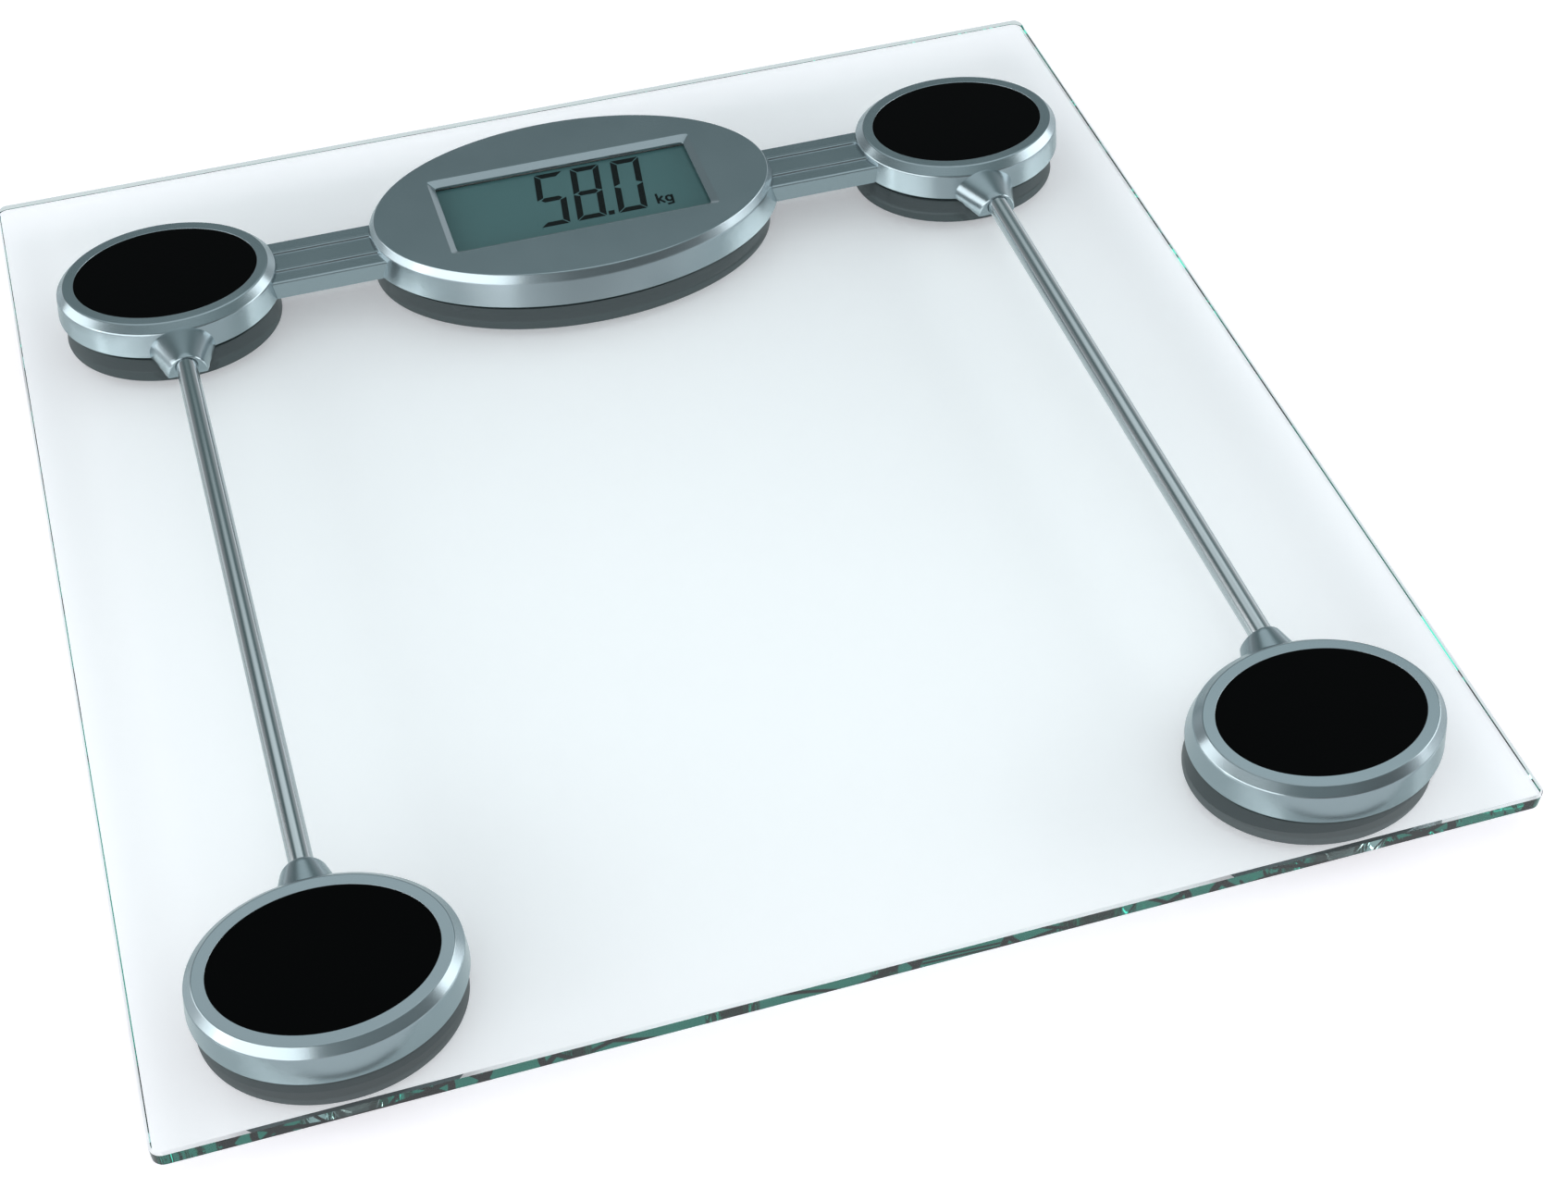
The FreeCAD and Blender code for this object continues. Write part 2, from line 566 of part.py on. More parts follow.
def board_screws():
    """Four small screws that hold the board to the cover."""
    screws = []
    for x, y in board_screw_places():
        head = cylinder(BOARD_SCREW_HEAD[0], BOARD_BOTTOM - BOARD_SCREW_HEAD[1], BOARD_BOTTOM, x, y)
        shank = cylinder(BOARD_SCREW_R, BOARD_BOTTOM - JOIN, DISPLAY_CEILING - LENS_THICK, x, y)
        screws.append(head.fuse(shank))
    return placed(Part.makeCompound(screws), 0, DISPLAY_Y)


# ---------------------------------------------------------------- display unit, below the glass
def display_base():
    """Dark tray below the glass with the battery bay, the door opening and the switch slot."""
    outer = oval_block(DISPLAY_BASE_BOTTOM_OVAL, BASE_BOTTOM, DISPLAY_BASE_TOP_OVAL, BASE_TOP)
    tray = outer.cut(oval_block(shrink(DISPLAY_BASE_BOTTOM_OVAL, SHELL), FLOOR_TOP,
                                shrink(DISPLAY_BASE_TOP_OVAL, SHELL), BASE_TOP + 0.1 * JOIN))
    for side in (-1, 1):
        pillar = cylinder(BOSS_R + BOSS_GLASS_GAP - SPIGOT_GAP, BASE_BOTTOM, SPIGOT_TOP,
                          side * DISPLAY_SCREW_X)
        tray = tray.fuse(pillar).cut(screw_drill(BASE_BOTTOM - OVERCUT, side * DISPLAY_SCREW_X, 0))
    bay = block(*BAY_BLOCK, BASE_BOTTOM, BASE_TOP, BATTERY_X, BAY_BLOCK_Y)
    bay = bay.cut(cylinder(BAY_R, BASE_BOTTOM - OVERCUT, BAY_ROOF, BATTERY_X))
    ears = []
    for side in (-1, 1):
        ear_x = BATTERY_X + side * (DOOR[0] - EAR[0]) / 2
        ears.append(block(EAR[0], EAR[1], FLOOR_TOP - JOIN, HINGE_Z + EAR[2], ear_x, HINGE_Y))
    tray = tray.fuse([bay] + ears)
    tray = tray.cut(door_opening())
    pin_hole = Part.makeCylinder(HINGE_PIN_R + HINGE_PIN_GAP, DOOR[0] - 1.6,
                                 Vector(BATTERY_X - DOOR[0] / 2 + 0.8, HINGE_Y, HINGE_Z), Vector(1, 0, 0))
    tray = tray.cut(pin_hole)
    negative_slot = block(16.0, CONTACT_SLOT, BATTERY_TOP - CONTACT_THICK, BAY_ROOF, BATTERY_X - 11.0,
                          CONTACT_Y)
    positive_slot = block(9.0, CONTACT_SLOT, BATTERY_BOTTOM, BAY_ROOF, BATTERY_X - 13.0, -CONTACT_Y)
    tray = tray.cut(negative_slot).cut(positive_slot)
    slot = block(*SWITCH_SLOT, BASE_BOTTOM - OVERCUT, FLOOR_TOP + OVERCUT, SWITCH_X)
    return placed(tray.cut(slot), 0, DISPLAY_Y)


def door_opening():
    """Space that the battery door, its hinge barrel and its finger tab need in the floor."""
    front = HINGE_Y - DOOR[1] - DOOR_GAP
    wide_rear = HINGE_Y - DOOR_STEP + 1.0
    neck_rear = HINGE_Y + HINGE_BARREL_R + 0.7
    inner = DOOR[0] - DOOR_NECK + 2 * DOOR_GAP
    low, roof = BASE_BOTTOM - OVERCUT, FLOOR_TOP + 2 * JOIN
    plate = block(DOOR[0] + 2 * DOOR_GAP, wide_rear - front, low, roof, BATTERY_X, (front + wide_rear) / 2)
    barrel = block(inner, neck_rear - wide_rear + 2 * JOIN, low, HINGE_Z + HINGE_BARREL_R + 0.5,
                   BATTERY_X, (wide_rear - 2 * JOIN + neck_rear) / 2)
    tab = block(*TAB_ROOM, low, roof, BATTERY_X, front)
    return plate.fuse([barrel, tab])


def battery_door():
    """Door below the battery, with its hinge barrel, pins and finger tab."""
    front = HINGE_Y - DOOR[1]
    depth = DOOR[1] - DOOR_STEP
    plate = block(DOOR[0], depth, BASE_BOTTOM, DOOR_TOP, BATTERY_X, front + depth / 2)
    inner = DOOR[0] - DOOR_NECK
    neck = block(inner, 4.0, BASE_BOTTOM, DOOR_TOP, BATTERY_X, HINGE_Y - 2.0)
    tab = block(*TAB, BASE_BOTTOM, DOOR_TOP, BATTERY_X, front - TAB_SHIFT)
    start = Vector(BATTERY_X - inner / 2, HINGE_Y, HINGE_Z)
    barrel = Part.makeCylinder(HINGE_BARREL_R, inner, start, Vector(1, 0, 0))
    pins = Part.makeCylinder(HINGE_PIN_R, inner + 3.0, start - Vector(1.5, 0, 0), Vector(1, 0, 0))
    door = plate.fuse([neck, tab, barrel, pins]).removeSplitter()
    length, width, depth = RIDGE
    for ridge in (-2, -1, 0):
        groove = block(length, width, BASE_BOTTOM - OVERCUT, BASE_BOTTOM + depth, BATTERY_X,
                       front + RIDGE_STEP * ridge)
        door = door.cut(groove)
    return placed(door, 0, DISPLAY_Y)


def battery_cell():
    """Flat lithium cell, 20 mm across and 3.2 mm thick."""
    can = cylinder(BATTERY_R, BATTERY_BOTTOM, BATTERY_TOP - CELL_CAP, BATTERY_X)
    low_rim = [edge for edge in can.Edges if edge.BoundBox.ZMax < BATTERY_BOTTOM + JOIN]
    can = can.makeFillet(0.5, low_rim)
    cap = cylinder(BATTERY_R - CELL_CAP_INSET, BATTERY_TOP - CELL_CAP - JOIN, BATTERY_TOP, BATTERY_X)
    return placed(can.fuse(cap), 0, DISPLAY_Y)


def battery_contact_negative():
    """Flat spring strip over the cell's cap, out to its lead."""
    length = BATTERY_X + 0.5 - CONTACT_END
    strip = block(length, CONTACT_WIDTH, BATTERY_TOP, BATTERY_TOP + CONTACT_THICK,
                  CONTACT_END + length / 2, CONTACT_Y)
    return placed(strip, 0, DISPLAY_Y)


def battery_contact_positive():
    """Bent spring strip against the side of the cell, out to its lead."""
    leaf_x = BATTERY_X - BATTERY_R - 0.1
    top = BATTERY_TOP - 2 * CONTACT_THICK
    leaf = block(CONTACT_THICK, CONTACT_WIDTH, BATTERY_BOTTOM + 0.4, top, leaf_x, -CONTACT_Y)
    leg_end = leaf_x + CONTACT_THICK / 2
    leg = block(leg_end - CONTACT_END, CONTACT_WIDTH, top - CONTACT_THICK, top,
                (leg_end + CONTACT_END) / 2, -CONTACT_Y)
    return placed(leaf.fuse(leg).removeSplitter(), 0, DISPLAY_Y)


def battery_leads():
    """Two leads from the battery contacts up to the board."""
    negative = cylinder(LEAD_R, BATTERY_TOP + CONTACT_THICK, BOARD_BOTTOM, LEAD_X, CONTACT_Y)
    positive = cylinder(LEAD_R, BATTERY_TOP - 2 * CONTACT_THICK, BOARD_BOTTOM, LEAD_X, -CONTACT_Y)
    return placed(Part.makeCompound([negative, positive]), 0, DISPLAY_Y)


def switch_body():
    """Slide switch for the unit, on the floor of the display base."""
    length, depth, height = SWITCH_BODY
    body = block(length, depth, FLOOR_TOP, FLOOR_TOP + height, SWITCH_X)
    well = block(*SWITCH_SLOT, FLOOR_TOP - OVERCUT, FLOOR_TOP + SWITCH_WELL, SWITCH_X)
    return placed(body.cut(well), 0, DISPLAY_Y)


def switch_slider():
    """Sliding knob of the unit switch, at the left end of its travel."""
    x = SWITCH_X - SWITCH_TRAVEL / 2
    knob = block(*KNOB, BASE_BOTTOM + 0.2, FLOOR_TOP + SWITCH_WELL - SPIGOT_GAP, x)
    width, depth, height = KNOB_NOTCH
    notch = block(width, depth, BASE_BOTTOM - OVERCUT, BASE_BOTTOM + height, x)
    return placed(knob.cut(notch), 0, DISPLAY_Y)


def switch_leads():
    """Three leads from the switch up to the board."""
    low = FLOOR_TOP + SWITCH_BODY[2]
    leads = [cylinder(LEAD_R, low, BOARD_BOTTOM, SWITCH_X + step) for step in SWITCH_LEADS]
    return placed(Part.makeCompound(leads), 0, DISPLAY_Y)


# ---------------------------------------------------------------- assembly
PODS = {
    "front_left": {"x": -POD_X, "y": POD_FRONT_Y, "facing": 1, "bar_side": 0, "turn": 90},
    "front_right": {"x": POD_X, "y": POD_FRONT_Y, "facing": 1, "bar_side": 0, "turn": 90},
    "rear_left": {"x": -POD_X, "y": POD_REAR_Y, "facing": -1, "bar_side": 1, "turn": 0},
    "rear_right": {"x": POD_X, "y": POD_REAR_Y, "facing": -1, "bar_side": -1, "turn": 180},
}
SIDES = {"left": -1, "right": 1}


def export_pods():
    """Write the eight pieces of each pod."""
    for name, pod in PODS.items():
        place = (pod["x"], pod["y"])
        pieces = {
            "pod_cover": pod_cover(pod["facing"], pod["bar_side"], pod["turn"]),
            "pod_insert": pod_insert(),
            "pod_gasket": oval_gasket(POD_FOOT_OVAL),
            "foot_base": foot_base(pod["turn"]),
            "load_cell": load_cell(pod["turn"]),
            "foot_cup": foot_cup(),
            "foot_pad": foot_pad(),
        }
        for piece, shape in pieces.items():
            export("%s_%s" % (piece, name), placed(shape, *place))


def export_case_screws():
    """Write the case screws of the pods and of the display unit as one group."""
    places = []
    for pod in PODS.values():
        angle = math.radians(pod["turn"])
        for side in (-1, 1):
            places.append((pod["x"] - side * SCREW_AT * math.sin(angle),
                           pod["y"] + side * SCREW_AT * math.cos(angle)))
    places += [(side * DISPLAY_SCREW_X, DISPLAY_Y) for side in (-1, 1)]
    export("case_screws", Part.makeCompound([placed(case_screw(), x, y) for x, y in places]))


def main():
    """Write every sub-part."""
    os.makedirs("parts", exist_ok=True)
    export("glass_platform", glass_platform([(pod["x"], pod["y"]) for pod in PODS.values()]))
    export_pods()
    export_case_screws()
    for name, side in SIDES.items():
        export("side_tube_%s" % name, side_tube(side))
        export("link_bar_%s" % name, link_bar(side))
        export("cell_cable_front_%s" % name, front_cable(side))
        export("cell_cable_rear_%s" % name, rear_cable(side))
    export("display_cover", display_cover())
    export("display_gasket", placed(oval_gasket(DISPLAY_FOOT_OVAL), 0, DISPLAY_Y))
    for build in (display_lens, lcd_panel, lcd_holder, contact_strips, circuit_board, controller_chip,
                  board_screws, display_base, battery_door, battery_cell, battery_contact_negative,
                  battery_contact_positive, battery_leads, switch_body, switch_slider, switch_leads):
        export(build.__name__, build())


if __name__ == "__main__":
    main()
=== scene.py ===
"""Glass personal scale: finished surfaces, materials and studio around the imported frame.

Shapes are worked out in millimetres, and mesh_object turns them into metres. Lamp and Studio give
their places in metres.
"""

import json
import logging
import math
from dataclasses import dataclass, field
from enum import Enum

import bmesh
import bpy
import numpy as np
from bpy.types import Material, Mesh, Node, NodeSocket, NodeTree, Object, ShaderNode
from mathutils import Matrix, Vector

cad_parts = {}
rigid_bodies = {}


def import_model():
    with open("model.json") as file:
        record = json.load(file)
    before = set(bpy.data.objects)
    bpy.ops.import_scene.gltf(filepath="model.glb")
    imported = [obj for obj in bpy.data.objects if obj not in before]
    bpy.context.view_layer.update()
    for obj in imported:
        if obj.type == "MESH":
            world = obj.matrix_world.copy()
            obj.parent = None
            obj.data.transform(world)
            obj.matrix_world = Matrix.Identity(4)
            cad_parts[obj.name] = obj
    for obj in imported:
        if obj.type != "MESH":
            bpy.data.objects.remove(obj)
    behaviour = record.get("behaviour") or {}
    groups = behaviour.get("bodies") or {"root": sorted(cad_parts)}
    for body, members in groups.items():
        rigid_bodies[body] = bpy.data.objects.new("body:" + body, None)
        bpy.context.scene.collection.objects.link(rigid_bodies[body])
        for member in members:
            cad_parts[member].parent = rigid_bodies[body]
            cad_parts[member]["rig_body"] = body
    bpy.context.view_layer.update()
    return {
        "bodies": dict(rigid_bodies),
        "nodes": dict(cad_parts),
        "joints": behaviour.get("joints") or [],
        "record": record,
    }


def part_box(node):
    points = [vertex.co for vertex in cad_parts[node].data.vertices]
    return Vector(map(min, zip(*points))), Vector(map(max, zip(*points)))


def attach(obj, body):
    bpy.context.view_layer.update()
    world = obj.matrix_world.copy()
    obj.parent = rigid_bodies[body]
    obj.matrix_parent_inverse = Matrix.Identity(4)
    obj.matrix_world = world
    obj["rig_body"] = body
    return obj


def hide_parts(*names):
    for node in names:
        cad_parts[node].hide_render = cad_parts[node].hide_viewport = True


LOG = logging.getLogger("glass_scale")
MM = 0.001
PLATFORM = "platform"
CREASE = math.radians(32.0)
LEG_SHARE = 0.45          # the most of a leg that a rounded corner may take
FLAT_MARGIN = 1.08        # how far out the point beside a rounded corner lies, in corner reaches
HUB = (0.5, 0.5)          # half axes of the innermost loop of an oval face
WHITE = (1.0, 1.0, 1.0, 1.0)

Pair = tuple[float, float]
Triple = tuple[float, float, float]
Profile = list[tuple[float, ...]]


# ---------------------------------------------------------------- surfaces
@dataclass
class Skin:
    """Vertices in millimetres and the faces over them: quads, triangles and larger polygons."""

    points: np.ndarray
    quads: np.ndarray = field(default_factory=lambda: np.zeros((0, 4), int))
    triangles: np.ndarray = field(default_factory=lambda: np.zeros((0, 3), int))
    polygons: list[list[int]] = field(default_factory=list)

    def corners(self) -> np.ndarray:
        """All faces as triangles, as an array of (count, 3) vertex numbers."""
        halves = [self.quads[:, [0, 1, 2]], self.quads[:, [0, 2, 3]], self.triangles]
        return np.concatenate(halves)

    def outward(self) -> "Skin":
        """Turn the faces of a closed skin outwards, by the sign of its volume.

        Returns:
            The same skin.
        """
        a, b, c = (self.points[self.corners()[:, k]] for k in range(3))
        if np.einsum("ij,ij->i", a, np.cross(b, c)).sum() < 0:
            self.quads = self.quads[:, ::-1]
            self.triangles = self.triangles[:, ::-1]
        return self

    def faces(self, first: int) -> list[list[int]]:
        """Face lists whose vertex numbers start at first."""
        return ((self.quads + first).tolist() + (self.triangles + first).tolist()
                + [[corner + first for corner in polygon] for polygon in self.polygons])


def loft(rings: np.ndarray, wrapped: bool = False) -> Skin:
    """Closed skin over section loops.

    Neighbouring loops are joined by quads. A wrapped skin joins the last loop to the first, and any
    other skin closes each end with a fan to the mean of its end loop.

    Args:
        rings: array of (loops, points around, 3).
        wrapped: whether the last loop meets the first.

    Returns:
        The skin, its faces outwards.
    """
    loops, around = rings.shape[:2]
    index = np.arange(loops * around).reshape(loops, around)
    below = index if wrapped else index[:-1]
    above = np.roll(index, -1, axis=0) if wrapped else index[1:]
    quads = np.stack([below, np.roll(below, -1, axis=1), np.roll(above, -1, axis=1), above], axis=-1)
    points = rings.reshape(-1, 3)
    if wrapped:
        return Skin(points, quads.reshape(-1, 4)).outward()
    centres = np.stack([rings[0].mean(axis=0), rings[-1].mean(axis=0)])
    first = np.full(around, loops * around)
    low_fan = np.stack([first, np.roll(index[0], -1), index[0]], axis=-1)
    high_fan = np.stack([first + 1, index[-1], np.roll(index[-1], -1)], axis=-1)
    return Skin(np.concatenate([points, centres]), quads.reshape(-1, 4),
                np.concatenate([low_fan, high_fan])).outward()


def rounded(corners: Profile, reach: list[float], closed: bool = False,
            steps: int = 6) -> np.ndarray:
    """Polyline through the corners, each corner replaced by a parabola tangent to its two legs.

    A corner's curve is P + u (1 - t)^2 + v t^2, where u and v lead along its legs by the corner's
    reach. One more point just before and after it keeps the flats beside it flat when shaded.

    Args:
        corners: points of any dimension.
        reach: how far each corner's curve starts from it, 0 for a sharp one.
        closed: whether the last corner's leg leads back to the first.
        steps: spans of each curve.

    Returns:
        Array of (points, dimension).
    """
    points = np.asarray(corners, float)
    t = np.linspace(0.0, 1.0, steps + 1)[:, None]
    pieces = []
    for k, (corner, size) in enumerate(zip(points, reach)):
        inner = closed or 0 < k < len(points) - 1
        if not inner or size <= 0:
            pieces.append(corner[None])
            continue
        back = points[k - 1] - corner
        ahead = points[(k + 1) % len(points)] - corner
        lengths = [np.linalg.norm(leg[:3]) for leg in (back, ahead)]
        u, v = (leg / length * min(size, LEG_SHARE * length)
                for leg, length in zip((back, ahead), lengths))
        curve = corner + u * (1 - t) ** 2 + v * t ** 2
        before, after = (corner + FLAT_MARGIN * leg[None] for leg in (u, v))
        pieces.append(np.concatenate([before, curve, after]))
    return np.concatenate(pieces)


def oval_rings(profile: np.ndarray, centre: Pair, around: int = 144) -> np.ndarray:
    """Level loops of a profile's points (half length, half width, height[, roundness]).

    A loop is the super-oval x = a cos(q) r, y = b sin(q) r with r = (|cos q|^e + |sin q|^e)^(-1/e)
    and e = 2 / roundness: an ellipse at roundness 1, and nearly a rectangle towards 0.

    Args:
        profile: array of (points, 3 or 4); roundness is 1 where it isn't given.
        centre: where the ovals' axis stands, seen from above.
        around: points of each loop.

    Returns:
        Array of (points, around, 3), ready for loft.
    """
    q = np.arange(around) * (2 * np.pi / around)
    roundness = profile[:, 3:4] if profile.shape[1] > 3 else np.ones((len(profile), 1))
    power = 2.0 / roundness
    cos, sin = np.cos(q)[None], np.sin(q)[None]
    r = (np.abs(cos) ** power + np.abs(sin) ** power) ** (-1.0 / power)
    x = centre[0] + profile[:, 0:1] * cos * r
    y = centre[1] + profile[:, 1:2] * sin * r
    z = np.broadcast_to(profile[:, 2:3], x.shape)
    return np.stack([x, y, z], axis=-1)


def prism(outline: np.ndarray, low: float, high: float) -> Skin:
    """Upright prism on an outline, which is turned to run anticlockwise by the sign of its area.

    Args:
        outline: array of (points, 2), convex or concave.
        low: height of the bottom.
        high: height of the top.

    Returns:
        The skin, its faces outwards.
    """
    x, y = outline.T
    if (x * np.roll(y, -1) - y * np.roll(x, -1)).sum() < 0:
        outline = outline[::-1]
    count = len(outline)
    levels = [np.column_stack([outline, np.full(count, z)]) for z in (low, high)]
    index = np.arange(count)
    after = np.roll(index, -1)
    sides = np.stack([index, after, after + count, index + count], axis=-1)
    return Skin(np.concatenate(levels), quads=sides,
                polygons=[index[::-1].tolist(), (index + count).tolist()])


def mesh_object(name: str, skins: list[Skin]) -> Object:
    """Object in metres made of these skins, shaded smooth up to the crease angle.

    Args:
        name: the name of the object and its mesh.
        skins: the closed skins that it joins.

    Returns:
        The new object, at the origin and in the scene.
    """
    points, faces = [], []
    for skin in skins:
        faces += skin.faces(sum(len(part) for part in points))
        points.append(skin.points)
    mesh = bpy.data.meshes.new(name)
    mesh.from_pydata((np.concatenate(points) * MM).tolist(), [], faces)
    smooth(mesh)
    piece = bpy.data.objects.new(name, mesh)
    bpy.context.scene.collection.objects.link(piece)
    return piece


def smooth(mesh: Mesh, crease: float = CREASE) -> None:
    """Shade a mesh smooth, with sharp edges where its faces turn by more than an angle.

    Args:
        mesh: the mesh.
        crease: the angle in radians.
    """
    mesh.validate()
    mesh.polygons.foreach_set("use_smooth", np.ones(len(mesh.polygons), bool))
    mesh.set_sharp_from_angle(angle=crease)
    mesh.update()


def united(first: Object, second: Object) -> Object:
    """Join two solids into one by a boolean union.

    Args:
        first: the piece that stays.
        second: the piece that is joined to it and removed.

    Returns:
        The first piece, with its new mesh.
    """
    union = first.modifiers.new("union", "BOOLEAN")
    union.operation = "UNION"
    union.solver = "EXACT"
    union.object = second
    evaluated = first.evaluated_get(bpy.context.evaluated_depsgraph_get())
    mesh = bpy.data.meshes.new_from_object(evaluated)
    first.modifiers.clear()
    first.data = mesh
    smooth(mesh)
    bpy.data.objects.remove(second)
    return first


# ---------------------------------------------------------------- places read from the frame
@dataclass(frozen=True)
class Layout:
    """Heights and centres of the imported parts, in millimetres."""

    glass_top: float
    cover_bottom: float
    pod_top: float
    pods: dict[str, Pair]
    display: Pair

    @staticmethod
    def box(node: str) -> tuple[np.ndarray, np.ndarray]:
        """Lowest and highest corner of a node."""
        low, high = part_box(node)
        return np.array(low) / MM, np.array(high) / MM

    @classmethod
    def middle(cls, node: str) -> Pair:
        """Centre of a node, seen from above."""
        low, high = cls.box(node)
        return float(low[0] + high[0]) / 2, float(low[1] + high[1]) / 2

    @classmethod
    def read(cls) -> "Layout":
        """Read the layout off the loaded frame.

        Returns:
            The layout.
        """
        corners = ("front_left", "front_right", "rear_left", "rear_right")
        return cls(glass_top=float(cls.box("glass_platform")[1][2]),
                   cover_bottom=float(cls.box("display_gasket")[1][2]),
                   pod_top=float(cls.box("display_cover")[1][2]),
                   pods={corner: cls.middle("pod_insert_" + corner) for corner in corners},
                   display=cls.middle("display_lens"))


# ---------------------------------------------------------------- finishes
class Pattern(Enum):
    """What gives a finish its fine relief."""

    GRAIN = "grain"
    DRAWN = "drawn"
    CLEAR = "clear"


@dataclass(frozen=True)
class Finish:
    """One material: its colour, gloss and fine surface.

    grain is the size of the relief in millimetres and relief its depth. shade is how much the colour
    wanders, and gloss_drift how much the roughness does.
    """

    colour: Triple
    roughness: float
    metallic: float = 0.0
    pattern: Pattern = Pattern.GRAIN
    grain: float = 0.5
    relief: float = 0.01
    shade: float = 0.05
    gloss_drift: float = 0.05
    coat: float = 0.0
    coat_roughness: float = 0.1
    ior: float = 1.5
    specular: float = 0.5
    absorb: Triple | None = None
    density: float = 0.0


def feed(tree: NodeTree, value: object, socket: NodeSocket) -> None:
    """Give an input a value.

    Args:
        tree: the tree that the input is in.
        value: another node's output, which is linked, or a plain value, which is set.
        socket: the input.
    """
    if isinstance(value, NodeSocket):
        tree.links.new(value, socket)
    else:
        socket.default_value = value


def set_inputs(node: Node, values: dict[str, object]) -> None:
    """Give a node's inputs these plain values."""
    for name, value in values.items():
        node.inputs[name].default_value = value


def calc(tree: NodeTree, operation: str, *values: object) -> NodeSocket:
    """Work out a number in a node tree.

    Args:
        tree: the tree that gets the Math node.
        operation: the node's operation.
        values: its operands in order, outputs or plain numbers.

    Returns:
        The node's output.
    """
    node = tree.nodes.new("ShaderNodeMath")
    node.operation = operation
    for value, socket in zip(values, node.inputs):
        feed(tree, value, socket)
    return node.outputs[0]


def colour_mix(tree: NodeTree, factor: NodeSocket, *colours: object) -> NodeSocket:
    """Mix two colours.

    Args:
        tree: the tree that gets the Mix node.
        factor: output that is 0 for the first colour and 1 for the second.
        colours: the two colours, outputs or four plain numbers.

    Returns:
        The mixed colour's output.
    """
    mix = tree.nodes.new("ShaderNodeMix")
    mix.data_type = "RGBA"
    feed(tree, factor, mix.inputs["Factor"])
    for colour, socket in zip(colours, [s for s in mix.inputs if s.type == "RGBA"]):
        feed(tree, colour, socket)
    return next(s for s in mix.outputs if s.type == "RGBA")


def shader_mix(tree: NodeTree, *parts: NodeSocket) -> NodeSocket:
    """Mix two shaders.

    Args:
        tree: the tree that gets the Mix Shader node.
        parts: the factor, the shader where it is 0 and the shader where it is 1.

    Returns:
        The mixed shader's output.
    """
    mix = tree.nodes.new("ShaderNodeMixShader")
    for part, socket in zip(parts, mix.inputs):
        feed(tree, part, socket)
    return mix.outputs[0]


FINISHES = {
    "platform_glass": Finish((1.0, 1.0, 1.0), 0.0, pattern=Pattern.CLEAR, ior=1.52, gloss_drift=0.008,
                             absorb=(0.0, 0.74, 0.65), density=9.5),
    "window_clear": Finish((1.0, 1.0, 1.0), 0.0, pattern=Pattern.CLEAR, ior=1.33, gloss_drift=0.02),
    "silver_shell": Finish((0.37, 0.44, 0.47), 0.22, metallic=0.9, grain=0.35, relief=0.0012,
                           shade=0.02, gloss_drift=0.02),
    "black_inlay": Finish((0.0010, 0.0012, 0.0013), 0.5, grain=0.5, relief=0.006, shade=0.3, specular=0.03),
    "tube_steel": Finish((0.60, 0.64, 0.66), 0.16, metallic=1.0, pattern=Pattern.DRAWN, grain=0.25,
                         relief=0.0015, shade=0.08, gloss_drift=0.06),
    "cell_steel": Finish((0.55, 0.56, 0.57), 0.34, metallic=1.0, pattern=Pattern.DRAWN, grain=0.3,
                         relief=0.003, shade=0.12, gloss_drift=0.1),
    "screw_steel": Finish((0.50, 0.51, 0.52), 0.3, metallic=1.0, grain=0.15, relief=0.003, shade=0.15,
                          gloss_drift=0.12),
    "contact_metal": Finish((0.72, 0.70, 0.62), 0.28, metallic=1.0, grain=0.2, relief=0.002,
                            shade=0.08),
    "battery_can": Finish((0.66, 0.67, 0.68), 0.24, metallic=1.0, pattern=Pattern.DRAWN, grain=0.2,
                          relief=0.0015, shade=0.06, gloss_drift=0.08),
    "dark_plastic": Finish((0.040, 0.048, 0.052), 0.48, grain=0.45, relief=0.02, shade=0.12),
    "foot_plastic": Finish((0.030, 0.033, 0.035), 0.5, grain=0.5, relief=0.02, shade=0.15),
    "foot_rubber": Finish((0.022, 0.022, 0.023), 0.78, grain=0.9, relief=0.05, shade=0.25),
    # foam: the gaskets under the covers; their dark teal is partly the foam's own colour and partly a
    # painted contact shadow along the covers' feet
    "foam": Finish((0.010, 0.030, 0.032), 0.9, grain=0.35, relief=0.05, shade=0.35),
    "lcd": Finish((0.058, 0.145, 0.150), 0.32, grain=1.2, relief=0.001, shade=0.05, coat=0.25,
                  coat_roughness=0.05),
    "lcd_ink": Finish((0.0006, 0.001, 0.001), 0.4, grain=0.4, relief=0.001, shade=0.2, specular=0.02),
    "white_plastic": Finish((0.62, 0.62, 0.60), 0.45, grain=0.5, relief=0.012, shade=0.04),
    "contact_rubber": Finish((0.10, 0.055, 0.065), 0.7, grain=0.4, relief=0.02, shade=0.2),
    "board": Finish((0.012, 0.085, 0.035), 0.36, grain=0.8, relief=0.004, shade=0.2, coat=0.3),
    "epoxy": Finish((0.008, 0.008, 0.009), 0.22, grain=2.0, relief=0.01, shade=0.3),
    "cable_jacket": Finish((0.028, 0.028, 0.030), 0.5, grain=0.6, relief=0.012, shade=0.15),
    "lead_jacket": Finish((0.30, 0.018, 0.015), 0.45, grain=0.6, relief=0.008, shade=0.12),
    "switch_plastic": Finish((0.30, 0.31, 0.32), 0.42, grain=0.4, relief=0.01, shade=0.06),
}


